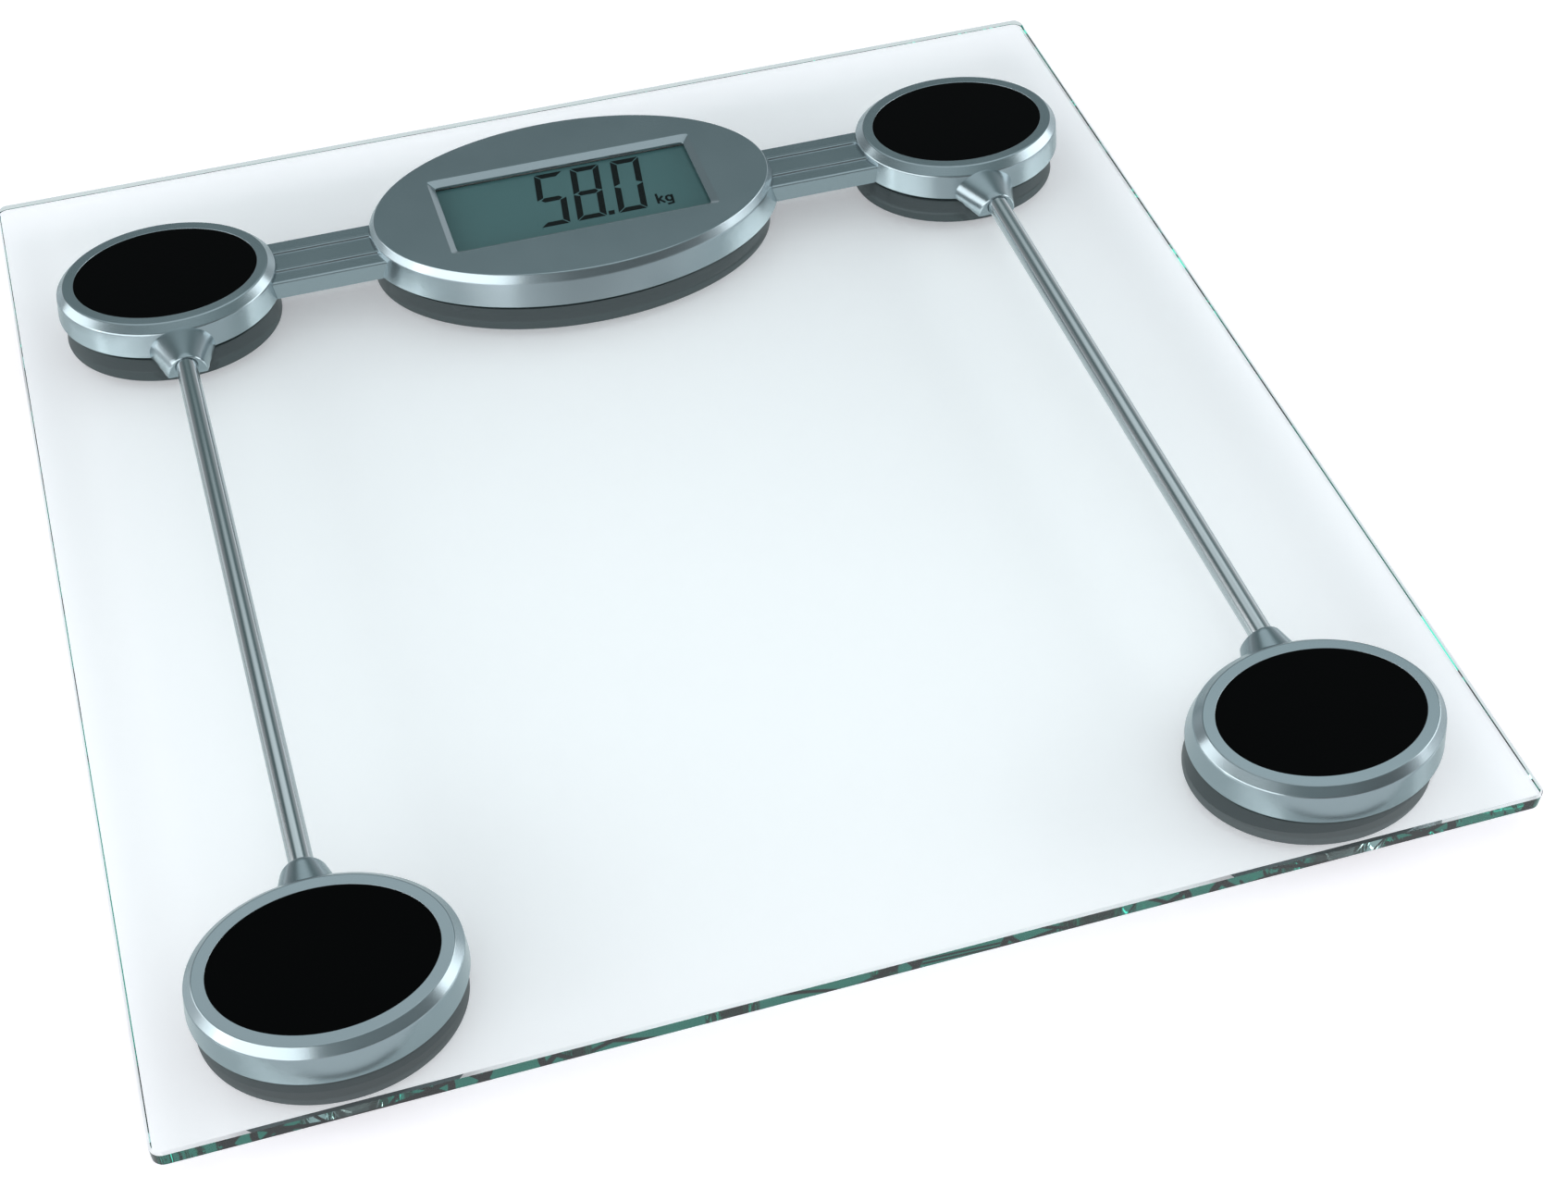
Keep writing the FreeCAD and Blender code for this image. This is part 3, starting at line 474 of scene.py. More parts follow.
class Paintbox:
    """Makes each finish's material once, with node groups that the materials share."""

    SLOW_SCALE = 55.0                   # cycles of the slow pattern per metre
    FINE_DETAIL, SLOW_DETAIL = 3.0, 4.0
    FINE_PART, SLOW_PART = 0.35, 0.65   # shares of the two patterns in the drift
    DRIFT_LOW, DRIFT_HIGH = 0.3, 0.7    # range that the drift mostly keeps to

    def __init__(self) -> None:
        """Build the shared node groups."""
        self.made: dict[str, Material] = {}
        self.grain = self.relief_group("fine_grain", stretch=(1.0, 1.0, 1.0))
        self.drawn = self.relief_group("drawn_lines", stretch=(1.0, 0.015, 1.0))

    @staticmethod
    def relief_group(name: str, stretch: Triple) -> NodeTree:
        """Group that gives a fine height and a slow drift from one position.

        Args:
            name: the group's name.
            stretch: scale of the pattern along each axis; a small one draws it out into lines.

        Returns:
            Group with inputs Vector and Grain (in metres) and outputs Height and Drift.
        """
        tree = bpy.data.node_groups.new(name, "ShaderNodeTree")
        for socket, kind, way in (("Vector", "NodeSocketVector", "INPUT"),
                                  ("Grain", "NodeSocketFloat", "INPUT"),
                                  ("Height", "NodeSocketFloat", "OUTPUT"),
                                  ("Drift", "NodeSocketFloat", "OUTPUT")):
            tree.interface.new_socket(socket, in_out=way, socket_type=kind)
        nodes, links = tree.nodes, tree.links
        given = nodes.new("NodeGroupInput")
        result = nodes.new("NodeGroupOutput")
        stretched = nodes.new("ShaderNodeVectorMath")
        stretched.operation = "MULTIPLY"
        stretched.inputs[1].default_value = stretch
        links.new(given.outputs["Vector"], stretched.inputs[0])
        fine = nodes.new("ShaderNodeTexNoise")
        set_inputs(fine, {"Detail": Paintbox.FINE_DETAIL})
        links.new(stretched.outputs[0], fine.inputs["Vector"])
        links.new(calc(tree, "DIVIDE", 1.0, given.outputs["Grain"]), fine.inputs["Scale"])
        slow = nodes.new("ShaderNodeTexNoise")
        set_inputs(slow, {"Scale": Paintbox.SLOW_SCALE, "Detail": Paintbox.SLOW_DETAIL})
        links.new(stretched.outputs[0], slow.inputs["Vector"])
        slow_part = calc(tree, "MULTIPLY", slow.outputs["Fac"], Paintbox.SLOW_PART)
        drift = calc(tree, "MULTIPLY_ADD", fine.outputs["Fac"], Paintbox.FINE_PART, slow_part)
        links.new(fine.outputs["Fac"], result.inputs["Height"])
        links.new(drift, result.inputs["Drift"])
        return tree

    def material(self, name: str) -> Material:
        """Find the material of a finish, which is made on its first use.

        Args:
            name: the finish's name in FINISHES.

        Returns:
            The material.
        """
        if name not in self.made:
            finish = FINISHES[name]
            material = bpy.data.materials.new(name)
            material.use_nodes = True
            self.dress(material.node_tree, finish)
            self.made[name] = material
        return self.made[name]

    def dress(self, tree: NodeTree, finish: Finish) -> None:
        """Fill a material's tree for a finish.

        Args:
            tree: the material's tree, with its Principled shader.
            finish: the finish.
        """
        nodes, links = tree.nodes, tree.links
        shader = nodes["Principled BSDF"]
        set_inputs(shader, {"Metallic": finish.metallic, "IOR": finish.ior,
                            "Specular IOR Level": finish.specular, "Coat Weight": finish.coat,
                            "Coat Roughness": finish.coat_roughness})
        place = nodes.new("ShaderNodeTexCoord")
        relief = nodes.new("ShaderNodeGroup")
        relief.node_tree = self.drawn if finish.pattern is Pattern.DRAWN else self.grain
        relief.inputs["Grain"].default_value = finish.grain * MM
        links.new(place.outputs["Object"], relief.inputs["Vector"])
        gloss = nodes.new("ShaderNodeMapRange")
        set_inputs(gloss, {"From Min": self.DRIFT_LOW, "From Max": self.DRIFT_HIGH,
                           "To Min": max(0.0, finish.roughness - finish.gloss_drift),
                           "To Max": finish.roughness + finish.gloss_drift})
        links.new(relief.outputs["Drift"], gloss.inputs["Value"])
        links.new(gloss.outputs["Result"], shader.inputs["Roughness"])
        if finish.pattern is Pattern.CLEAR:
            self.clear(tree, finish, shader)
            return
        shades = [(*(min(1.0, channel * factor) for channel in finish.colour), 1.0)
                  for factor in (1.0 - finish.shade, 1.0 + finish.shade)]
        links.new(colour_mix(tree, relief.outputs["Drift"], *shades), shader.inputs["Base Color"])
        bump = nodes.new("ShaderNodeBump")
        set_inputs(bump, {"Strength": 1.0, "Distance": finish.relief * MM})
        links.new(relief.outputs["Height"], bump.inputs["Height"])
        links.new(bump.outputs["Normal"], shader.inputs["Normal"])

    @staticmethod
    def clear(tree: NodeTree, finish: Finish, shader: ShaderNode) -> None:
        """Make a shader glass: light passes in shadow rays, and the body absorbs by its depth.

        Args:
            tree: the material's tree.
            finish: the finish, whose absorb and density colour the body.
            shader: the Principled shader.
        """
        nodes, links = tree.nodes, tree.links
        set_inputs(shader, {"Base Color": (*finish.colour, 1.0), "Transmission Weight": 1.0})
        output = nodes["Material Output"]
        ray = nodes.new("ShaderNodeLightPath")
        open_air = nodes.new("ShaderNodeBsdfTransparent")
        surface = shader_mix(tree, ray.outputs["Is Shadow Ray"], shader.outputs[0], open_air.outputs[0])
        links.new(surface, output.inputs["Surface"])
        if finish.absorb is not None:
            body = nodes.new("ShaderNodeVolumeAbsorption")
            set_inputs(body, {"Color": (*finish.absorb, 1.0), "Density": finish.density})
            links.new(body.outputs[0], output.inputs["Volume"])


@dataclass
class Workshop:
    """What every sub-assembly needs: the frame, its layout and the materials."""

    frame: dict
    layout: Layout
    paint: Paintbox
    merge_distance: float = 0.002 * MM
    flat_angle: float = math.radians(0.8)

    def finish_piece(self, piece: Object, slot: str, body: str = PLATFORM,
                     nodes: tuple[str, ...] = (), look: str | None = None) -> None:
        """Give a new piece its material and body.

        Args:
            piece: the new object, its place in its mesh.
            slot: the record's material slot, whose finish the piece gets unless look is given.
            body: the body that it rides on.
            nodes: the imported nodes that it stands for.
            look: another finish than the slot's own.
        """
        piece.data.materials.clear()
        piece.data.materials.append(self.paint.material(look or slot))
        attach(piece, body)
        if nodes:
            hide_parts(*nodes)
        LOG.info("%s: %d faces", piece.name, len(piece.data.polygons))

    def refine(self, node: str, slot: str, edge: float) -> None:
        """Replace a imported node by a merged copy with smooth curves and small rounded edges.

        Args:
            node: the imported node, whose body the copy keeps.
            slot: its material slot.
            edge: width of the rounding in millimetres, 0 for none.
        """
        source = self.frame["nodes"][node]
        mesh = source.data.copy()
        mesh.name = node + "_finished"
        shape = bmesh.new()
        shape.from_mesh(mesh)
        bmesh.ops.remove_doubles(shape, verts=shape.verts, dist=self.merge_distance)
        bmesh.ops.dissolve_limit(shape, angle_limit=self.flat_angle, verts=shape.verts,
                                 edges=shape.edges, use_dissolve_boundaries=False)
        shape.to_mesh(mesh)
        shape.free()
        smooth(mesh)
        piece = bpy.data.objects.new(node + "_finished", mesh)
        bpy.context.scene.collection.objects.link(piece)
        if edge:
            bevel = piece.modifiers.new("edges", "BEVEL")
            bevel.width = edge * MM
            bevel.segments = 2
            bevel.limit_method = "ANGLE"
            bevel.angle_limit = CREASE
            bevel.harden_normals = True
        self.finish_piece(piece, slot, source["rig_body"], (node,))


# ---------------------------------------------------------------- foot pods
@dataclass
class Pod:
    """Silver shell of a foot pod, its tube socket and its black inlay.

    facing is 1 where the socket points along +Y and -1 where it points along -Y. Pairs are half
    lengths and half widths of ovals, drops are depths below the pod's top, and places along the
    socket are distances from the pod's centre.
    """

    corner: str
    facing: int
    foot: Pair = (32.0, 26.1)
    shoulder: Pair = (31.3, 23.8)
    ring: Pair = (29.2, 21.7)
    inlay: Pair = (26.2, 18.9)
    inlay_depth: float = 1.5
    inlay_gap: float = 0.05
    shoulder_drop: float = 2.3
    ceiling_drop: float = 2.9
    wall: float = 2.0
    inner_lean: float = 0.4
    tip: Pair = (5.6, 7.2)
    root: Pair = (11.2, 7.6)
    tip_at: float = 35.2
    root_at: float = 19.5
    socket_start: float = 20.5
    bore: float = 3.05
    bore_height: float = 3.6
    bore_end: float = 24.0
    tip_edge: float = 0.55
    bore_lip: float = 0.25
    stations: int = 12
    sharpness: float = 24.0

    def build(self, shop: Workshop) -> None:
        """Build and dress the shell and the inlay.

        Args:
            shop: the frame, layout and materials.
        """
        centre = shop.layout.pods[self.corner]
        shell = mesh_object("pod_shell_" + self.corner, [self.shell(shop.layout, centre)])
        socket = mesh_object("socket", [self.socket(shop.layout, centre)])
        shop.finish_piece(united(shell, socket), "silver_shell", nodes=("pod_cover_" + self.corner,))
        inlay = mesh_object("pod_inlay_" + self.corner, [self.inlay_skin(shop.layout, centre)])
        shop.finish_piece(inlay, "black_inlay", nodes=("pod_insert_" + self.corner,))

    def shell(self, layout: Layout, centre: Pair) -> Skin:
        """Oval shell from the inlay's floor over the ring, down the wall and back up inside.

        Args:
            layout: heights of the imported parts.
            centre: the pod's centre, seen from above.

        Returns:
            The closed skin.
        """
        top, low = layout.pod_top, layout.cover_bottom
        inner_foot = tuple(axis - self.wall for axis in self.foot)
        inner_top = tuple(axis - self.wall - self.inner_lean for axis in self.shoulder)
        seat, ceiling = top - self.inlay_depth, top - self.ceiling_drop
        profile = rounded([(*HUB, seat), (*self.inlay, seat), (*self.inlay, top), (*self.ring, top),
                           (*self.shoulder, top - self.shoulder_drop), (*self.foot, low),
                           (*inner_foot, low), (*inner_top, ceiling), (*HUB, ceiling)],
                          [0, 0, 0.2, 0.35, 0.4, 0.15, 0, 0, 0])
        return loft(oval_rings(profile, centre))

    def inlay_skin(self, layout: Layout, centre: Pair) -> Skin:
        """Flat black oval with a softened rim.

        Args:
            layout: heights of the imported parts.
            centre: the pod's centre, seen from above.

        Returns:
            The closed skin.
        """
        edge = tuple(axis - self.inlay_gap for axis in self.inlay)
        low, top = layout.pod_top - self.inlay_depth, layout.pod_top - self.inlay_gap
        profile = rounded([(*HUB, low), (*edge, low), (*edge, top), (*HUB, top)], [0, 0, 0.3, 0])
        return loft(oval_rings(profile, centre))

    def socket(self, layout: Layout, centre: Pair, around: int = 96) -> Skin:
        """Tapered socket: a half-oval carried from inside the wall to its tip, and back in as a bore.

        A loop is drawn in polar form about the tube's axis. Its radius is that of the half-oval, or
        of the flat sill where that is nearer, and the two are blended so that they meet in a curve.

        Args:
            layout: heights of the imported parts.
            centre: the pod's centre, seen from above.
            around: points of each loop.

        Returns:
            The closed skin.
        """
        q = np.arange(around) * (2 * np.pi / around)
        turn = np.linspace(0.0, np.pi / 2, 6)
        edge, lip = self.tip_edge, self.bore_lip
        along = np.concatenate([np.linspace(self.socket_start, self.tip_at - edge, self.stations),
                                self.tip_at - edge + edge * np.sin(turn[1:])])
        inset = np.concatenate([np.zeros(self.stations), edge * (1 - np.cos(turn[1:]))])
        outer = self.half_oval(q[None], along[:, None], layout) - inset[:, None]
        lip_radius = self.bore + lip * (1 - np.sin(turn))
        lip_along = self.tip_at - lip * (1 - np.cos(turn))
        inner = np.concatenate([lip_radius, [self.bore]])[:, None] * np.ones((1, around))
        radius = np.concatenate([outer, inner])
        y = np.concatenate([along, lip_along, [self.bore_end]])[:, None] * np.ones((1, around))
        axis_z = layout.glass_top + self.bore_height
        rings = np.stack([centre[0] + radius * np.cos(q), centre[1] + self.facing * y,
                          axis_z + radius * np.sin(q)], axis=-1)
        return loft(rings)

    def half_oval(self, q: np.ndarray, along: np.ndarray, layout: Layout) -> np.ndarray:
        """Distance from the tube's axis to the socket's outside.

        A ray at angle q from the axis, which is bore_height above the glass, meets the half-oval
        (x / width)^2 + (z / height)^2 = 1 at the positive root of a quadratic.

        Args:
            q: angles about the axis, 0 along +X.
            along: distances from the pod's centre.
            layout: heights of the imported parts.

        Returns:
            The distances.
        """
        share = (along - self.root_at) / (self.tip_at - self.root_at)
        width = self.root[0] + share * (self.tip[0] - self.root[0])
        height = self.root[1] + share * (self.tip[1] - self.root[1])
        square = (np.cos(q) / width) ** 2 + (np.sin(q) / height) ** 2
        slope = 2 * self.bore_height * np.sin(q) / height ** 2
        rest = (self.bore_height / height) ** 2 - 1
        oval = (-slope + np.sqrt(slope ** 2 - 4 * square * rest)) / (2 * square)
        sill = (self.bore_height - (layout.cover_bottom - layout.glass_top)) / np.maximum(-np.sin(q), 1e-3)
        return (oval ** -self.sharpness + sill ** -self.sharpness) ** (-1 / self.sharpness)


FRONT_SOCKET = {"root": (9.4, 7.6), "tip_at": 29.7}  # narrower and shorter than the rear pods' own


# ---------------------------------------------------------------- tubes and bars
@dataclass
class Tube:
    """Thin steel tube between a front and a rear pod."""

    side: str
    radius: float = 3.0
    bore: float = 2.4
    edges: tuple[float, ...] = (0.2, 0.2, 0.15, 0.15)
    around: int = 72

    def build(self, shop: Workshop) -> None:
        """Carry the tube's wall section around its axis, along its length in the frame.

        Args:
            shop: the frame, layout and materials.
        """
        node = "side_tube_" + self.side
        low, high = shop.layout.box(node)
        centre_x, centre_z = (low[0] + high[0]) / 2, (low[2] + high[2]) / 2
        wall = rounded([(self.radius, low[1]), (self.radius, high[1]), (self.bore, high[1]),
                        (self.bore, low[1])], self.edges, closed=True, steps=4)
        q = np.linspace(0, 2 * np.pi, self.around, endpoint=False)[None]
        radius, y = wall[:, 0:1], wall[:, 1:2]
        rings = np.stack([centre_x + radius * np.cos(q), y + 0 * q, centre_z + radius * np.sin(q)],
                         axis=-1)
        piece = mesh_object("steel_tube_" + self.side, [loft(rings, wrapped=True)])
        shop.finish_piece(piece, "tube_steel", nodes=(node,))


@dataclass
class Bar:
    """Flat silver bar with two ribs, between a rear pod and the display unit."""

    side: str
    pod: Pod
    display: "Display"
    half: float = 9.5
    height: float = 5.5
    rib_at: float = 4.0
    rib: Pair = (0.9, 0.6)
    rib_slope: float = 0.3
    lean: float = 0.25
    chamfer: float = 0.4
    channel: Pair = (8.0, 4.0)
    stations: int = 24
    crease: float = math.radians(26)

    def section(self) -> tuple[np.ndarray, np.ndarray]:
        """Outer and inner lines of the bar's wall, with as many points each.

        Returns:
            The two lines as (across, up) points, both from +Y to -Y.
        """
        top, rib_half = self.height, self.rib[0] / 2
        near, far, slope = self.rib_at - rib_half, self.rib_at + rib_half, self.rib_slope
        shoulder = self.half - self.lean
        half = [(self.half, 0.0), (shoulder, top - self.chamfer), (shoulder - self.chamfer, top),
                (far + slope, top), (far, top + self.rib[1]), (near, top + self.rib[1]),
                (near - slope, top)]
        corners = half + [(-y, z) for y, z in reversed(half)]
        reach = [0, 0.25, 0.25, 0.1, 0.15, 0.15, 0.1]
        outer = rounded(corners, reach + reach[::-1], steps=3)
        across, up = self.channel
        inner_corners = np.array([(across, 0.0), (across, up), (-across, up), (-across, 0.0)])
        spans = np.linalg.norm(np.diff(inner_corners, axis=0), axis=1)
        travelled = np.concatenate([[0], np.cumsum(spans)])
        lengths = np.linalg.norm(np.diff(outer, axis=0), axis=1)
        at = np.concatenate([[0], np.cumsum(lengths)])
        at = at / at[-1] * travelled[-1]
        inner = np.stack([np.interp(at, travelled, inner_corners[:, k]) for k in (0, 1)], axis=-1)
        return outer, inner

    def build(self, shop: Workshop) -> None:
        """Carry the wall's section from the pod's face to the display unit's face.

        Args:
            shop: the frame, layout and materials.
        """
        layout = shop.layout
        node = "link_bar_" + self.side
        low, high = layout.box(node)
        bar_y = (low[1] + high[1]) / 2
        sign = -1 if self.side == "left" else 1
        outer, inner = self.section()
        loop = np.concatenate([outer, inner[::-1]])
        y, z = bar_y + loop[:, 0], layout.glass_top + loop[:, 1]
        pod_x, pod_y = layout.pods["rear_" + self.side]
        at_display = self.display.reach(y - layout.display[1], z, layout)
        at_pod = abs(pod_x) - self.pod_reach(y - pod_y, z, layout)
        share = np.linspace(0, 1, self.stations)[:, None]
        x = sign * (at_display * (1 - share) + at_pod * share)
        rings = np.stack([x, y + 0 * x, z + 0 * x], axis=-1)
        skin = loft(rings)
        count, lines = len(loop), len(outer)
        strip = np.arange(lines - 1)
        caps = np.stack([strip, strip + 1, count - 2 - strip, count - 1 - strip], axis=-1)
        last = (self.stations - 1) * count
        skin.triangles = np.zeros((0, 3), int)
        skin.points = skin.points[:-2]
        skin.quads = np.concatenate([skin.quads, caps[:, ::-1], caps + last])
        piece = mesh_object("cable_bar_" + self.side, [skin])
        shape = bmesh.new()
        shape.from_mesh(piece.data)
        bmesh.ops.recalc_face_normals(shape, faces=shape.faces)
        shape.to_mesh(piece.data)
        shape.free()
        smooth(piece.data, self.crease)
        shop.finish_piece(piece, "silver_shell", nodes=(node,))

    def pod_reach(self, y: np.ndarray, z: np.ndarray, layout: Layout) -> np.ndarray:
        """Half length of the pod's outside at a place across it and a height."""
        return oval_reach(y, z, self.pod.foot, self.pod.shoulder, layout.glass_top,
                          layout.pod_top - self.pod.shoulder_drop)


def oval_reach(y: np.ndarray, z: np.ndarray, foot: Pair, shoulder: Pair,
               low: float, high: float) -> np.ndarray:
    """Half length of an oval wall that goes straight from its foot up to its shoulder.

    Args:
        y: places across the oval.
        z: heights.
        foot: half axes at the height low.
        shoulder: half axes at the height high.
        low: height of the foot.
        high: height of the shoulder.

    Returns:
        The half lengths at those places.
    """
    share = (z - low) / (high - low)
    long = foot[0] + share * (shoulder[0] - foot[0])
    wide = foot[1] + share * (shoulder[1] - foot[1])
    return long * np.sqrt(1 - (y / wide) ** 2)


# ---------------------------------------------------------------- display unit
@dataclass
class Display:
    """Silver shell of the display unit with its bevelled window, and the panel's face."""

    foot: Pair = (62.8, 38.9)
    shoulder: Pair = (60.9, 36.0)
    top: Pair = (59.4, 34.7)
    window: Pair = (38.4, 15.2)
    bevel: float = 2.0
    bevel_depth: float = 1.3
    shoulder_drop: float = 2.3
    ceiling_drop: float = 2.0
    wall: float = 2.0
    inner_lean: float = 0.3
    panel: Pair = (39.4, 15.3)
    film: float = 0.1
    square: float = 0.03

    def reach(self, y: np.ndarray, z: np.ndarray, layout: Layout) -> np.ndarray:
        """Half length of the unit's outside at a place across it and a height."""
        return oval_reach(y, z, self.foot, self.shoulder, layout.glass_top,
                          layout.pod_top - self.shoulder_drop)

    def build(self, shop: Workshop) -> None:
        """Build and dress the shell, the film over the panel and its dark marks.

        Args:
            shop: the frame, layout and materials.
        """
        layout = shop.layout
        shell = mesh_object("display_shell", [self.shell(layout)])
        shop.finish_piece(shell, "silver_shell", nodes=("display_cover",))
        low = layout.box("lcd_panel")[1][2]
        high, hub = low + self.film, (1.0, 0.5)
        film = rounded([(*hub, low, self.square), (*self.panel, low, self.square),
                        (*self.panel, high, self.square), (*hub, high, self.square)], [0, 0, 0.05, 0])
        piece = mesh_object("panel_film", [loft(oval_rings(film, layout.display, 192))])
        shop.finish_piece(piece, "lcd")
        Reading().build(shop, high)

    def shell(self, layout: Layout) -> Skin:
        """Closed section carried round: wall, chamfer, flat top, bevel, opening, ceiling, inner wall.

        Args:
            layout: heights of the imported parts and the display's centre.

        Returns:
            The closed skin.
        """
        top, low = layout.pod_top, layout.cover_bottom
        rim = tuple(axis + self.bevel for axis in self.window)
        inner_top = tuple(axis - self.wall - self.inner_lean for axis in self.shoulder)
        inner_foot = tuple(axis - self.wall for axis in self.foot)
        ceiling = top - self.ceiling_drop
        profile = rounded([(*self.foot, low, 1.0), (*self.shoulder, top - self.shoulder_drop, 1.0),
                           (*self.top, top, 1.0), (*rim, top, self.square),
                           (*self.window, top - self.bevel_depth, self.square),
                           (*self.window, ceiling, self.square), (*inner_top, ceiling, 1.0),
                           (*inner_foot, low, 1.0)],
                          [0.15, 0.4, 0.35, 0.15, 0.1, 0, 0, 0], closed=True)
        return loft(oval_rings(profile, layout.display, 288), wrapped=True)


@dataclass
class Reading:
    """Dark marks of the panel: three slanted seven-bar figures, a point and the unit.

    Places are from the window's centre. point is the point's place and half its side.
    """

    figures: str = "580"
    lefts: tuple[float, ...] = (-12.2, -1.1, 11.4)
    base: float = -10.2
    width: float = 8.8
    height: float = 24.2
    stroke: float = 1.9
    gap: float = 0.28
    slant: float = 0.155
    thick: float = 0.06
    point: Triple = (9.4, -9.3, 0.9)
    unit_at: Pair = (23.6, -9.2)
    bars: dict[str, str] = field(default_factory=lambda: {"5": "afgcd", "8": "abcdefg", "0": "abcdef"})

    def outlines(self) -> dict[str, np.ndarray]:
        """Work out the seven bars in the upright box of one figure.

        Returns:
            The outline of each bar by its letter, a to g.
        """
        w, h, s, g = self.width, self.height, self.stroke, self.gap
        m = h / 2
        top = np.array([(g, h), (s + g, h - s), (w - s - g, h - s), (w - g, h)])
        right = np.array([(w, h - g), (w - s, h - s - g), (w - s, m + s / 2 + g / 2), (w, m + g / 2)])[::-1]
        middle = np.array([(s / 2 + g, m), (s + g, m - s / 2), (w - s - g, m - s / 2), (w - s / 2 - g, m),
                           (w - s - g, m + s / 2), (s + g, m + s / 2)])
        mirror_x, mirror_y = np.array([-1, 1]), np.array([1, -1])
        across, up = np.array([w, 0]), np.array([0, h])
        left = right[::-1] * mirror_x + across
        return {"a": top, "b": right, "f": left, "g": middle, "d": top[::-1] * mirror_y + up,
                "c": right[::-1] * mirror_y + up, "e": left[::-1] * mirror_y + up}

    def build(self, shop: Workshop, level: float) -> None:
        """Build the figures, the point and the unit as thin prisms on the panel's face.

        Args:
            shop: the frame, layout and materials.
            level: height of the face.
        """
        centre = np.array(shop.layout.display)
        lean = np.array([[1.0, 0.0], [self.slant, 1.0]])
        shapes = self.outlines()
        for place, (figure, left) in enumerate(zip(self.figures, self.lefts)):
            corner = centre + (left, self.base)
            skins = [prism(shapes[bar] @ lean + corner, level, level + self.thick)
                     for bar in self.bars[figure]]
            piece = mesh_object("figure_%d" % (place + 1), skins)
            shop.finish_piece(piece, "lcd", look="lcd_ink")
        x, y, half = self.point
        square = np.array([(-half, -half), (half, -half), (half, half), (-half, half)]) @ lean
        point = mesh_object("figure_point", [prism(square + centre + (x, y), level, level + self.thick)])
        shop.finish_piece(point, "lcd", look="lcd_ink")
        strokes = [prism(outline + centre + self.unit_at, level, level + self.thick)
                   for outline in self.unit_strokes()]
        shop.finish_piece(mesh_object("unit_mark", strokes), "lcd", look="lcd_ink")

    @staticmethod
    def unit_strokes() -> list[np.ndarray]:
        """Work out the strokes of the kilogram mark, from its lower left corner.

        Returns:
            The outlines of the strokes.
        """
        half, overlap = 0.36, 0.6
        lines = [((0.3, 0.0), (0.5, 4.2)), ((0.6, 1.3), (2.0, 2.8)), ((0.9, 1.6), (2.1, 0.0)),
                 ((4.9, 2.7), (4.6, -0.9)), ((4.6, -0.9), (3.0, -1.1))]
        angles = np.radians(np.arange(0, 360, 45))
        bowl = np.stack([3.9 + 0.95 * np.cos(angles), 1.45 + 1.2 * np.sin(angles)], axis=-1)
        lines += list(zip(bowl.tolist(), np.roll(bowl, -1, axis=0).tolist()))
        outlines = []
        for line in lines:
            a, b = np.array(line)
            along = (b - a) / np.linalg.norm(b - a) * half
            across = np.array([-along[1], along[0]])
            start, end = a - along * overlap, b + along * overlap
            outlines.append(np.array([start - across, end - across, end + across, start + across]))
        return outlines


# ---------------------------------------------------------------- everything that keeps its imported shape
SLOTS_BY_START = {
    # the gaskets' dark teal foam is partly a painted contact shadow under the covers
    "pod_gasket": "foam", "display_gasket": "foam", "foot_base": "dark_plastic",
    "display_base": "dark_plastic", "battery_door": "dark_plastic", "load_cell": "cell_steel",
    "foot_cup": "foot_plastic", "foot_pad": "foot_rubber", "case_screws": "screw_steel",
    "board_screws": "screw_steel", "cell_cable": "cable_jacket", "display_lens": "window_clear",
    "lcd_panel": "lcd", "lcd_holder": "white_plastic", "contact_strips": "contact_rubber",
    "circuit_board": "board", "controller_chip": "epoxy", "battery_cell": "battery_can",
    "battery_contact": "contact_metal", "battery_leads": "lead_jacket", "switch_leads": "lead_jacket",
    "switch_body": "switch_plastic", "switch_slider": "switch_plastic", "glass_platform": "platform_glass",
}
ROUNDED_EDGES = {"foot_base": 0.4, "display_base": 0.4, "battery_door": 0.25, "switch_slider": 0.2,
                 "load_cell": 0.15, "foot_cup": 0.0, "foot_pad": 0.0, "case_screws": 0.0,
                 "board_screws": 0.0, "battery_cell": 0.0, "cell_cable": 0.0, "controller_chip": 0.0}


def finish_nodes(shop: Workshop) -> None:
    """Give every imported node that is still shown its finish, and refine those in ROUNDED_EDGES.

    Args:
        shop: the frame, layout and materials.
    """
    for name, node in sorted(shop.frame["nodes"].items()):
        if node.hide_render:
            continue
        start = next(key for key in SLOTS_BY_START if name.startswith(key))
        slot = SLOTS_BY_START[start]
        if start in ROUNDED_EDGES:
            shop.refine(name, slot, ROUNDED_EDGES[start])
            continue
        node.data.materials.clear()
        node.data.materials.append(shop.paint.material(slot))


# ---------------------------------------------------------------- studio
@dataclass(frozen=True)
class Lamp:
    """Soft rectangular lamp that faces a target.

    Places and sizes are in metres and the power in watts. Glossy and clear surfaces show the lamp
    where it is mirrored.
    """

    name: str
    place: Triple
    size: Pair
    power: float
    target: Triple = (0.0, 0.0, 0.02)
    mirrored: bool = True

    def build(self) -> None:
        """Hang the lamp, unseen by the camera."""
        light = bpy.data.lights.new(self.name, "AREA")
        light.shape = "RECTANGLE"
        light.size, light.size_y = self.size
        light.energy = self.power
        lamp = bpy.data.objects.new(self.name, light)
        bpy.context.scene.collection.objects.link(lamp)
        lamp.location = self.place
        away = np.array(self.target) - np.array(self.place)
        flat = math.hypot(away[0], away[1])
        lamp.rotation_euler = (math.atan2(flat, -away[2]), 0.0, math.atan2(-away[0], away[1]))
        lamp.visible_camera = False
        lamp.visible_glossy = self.mirrored
        lamp.visible_transmission = self.mirrored


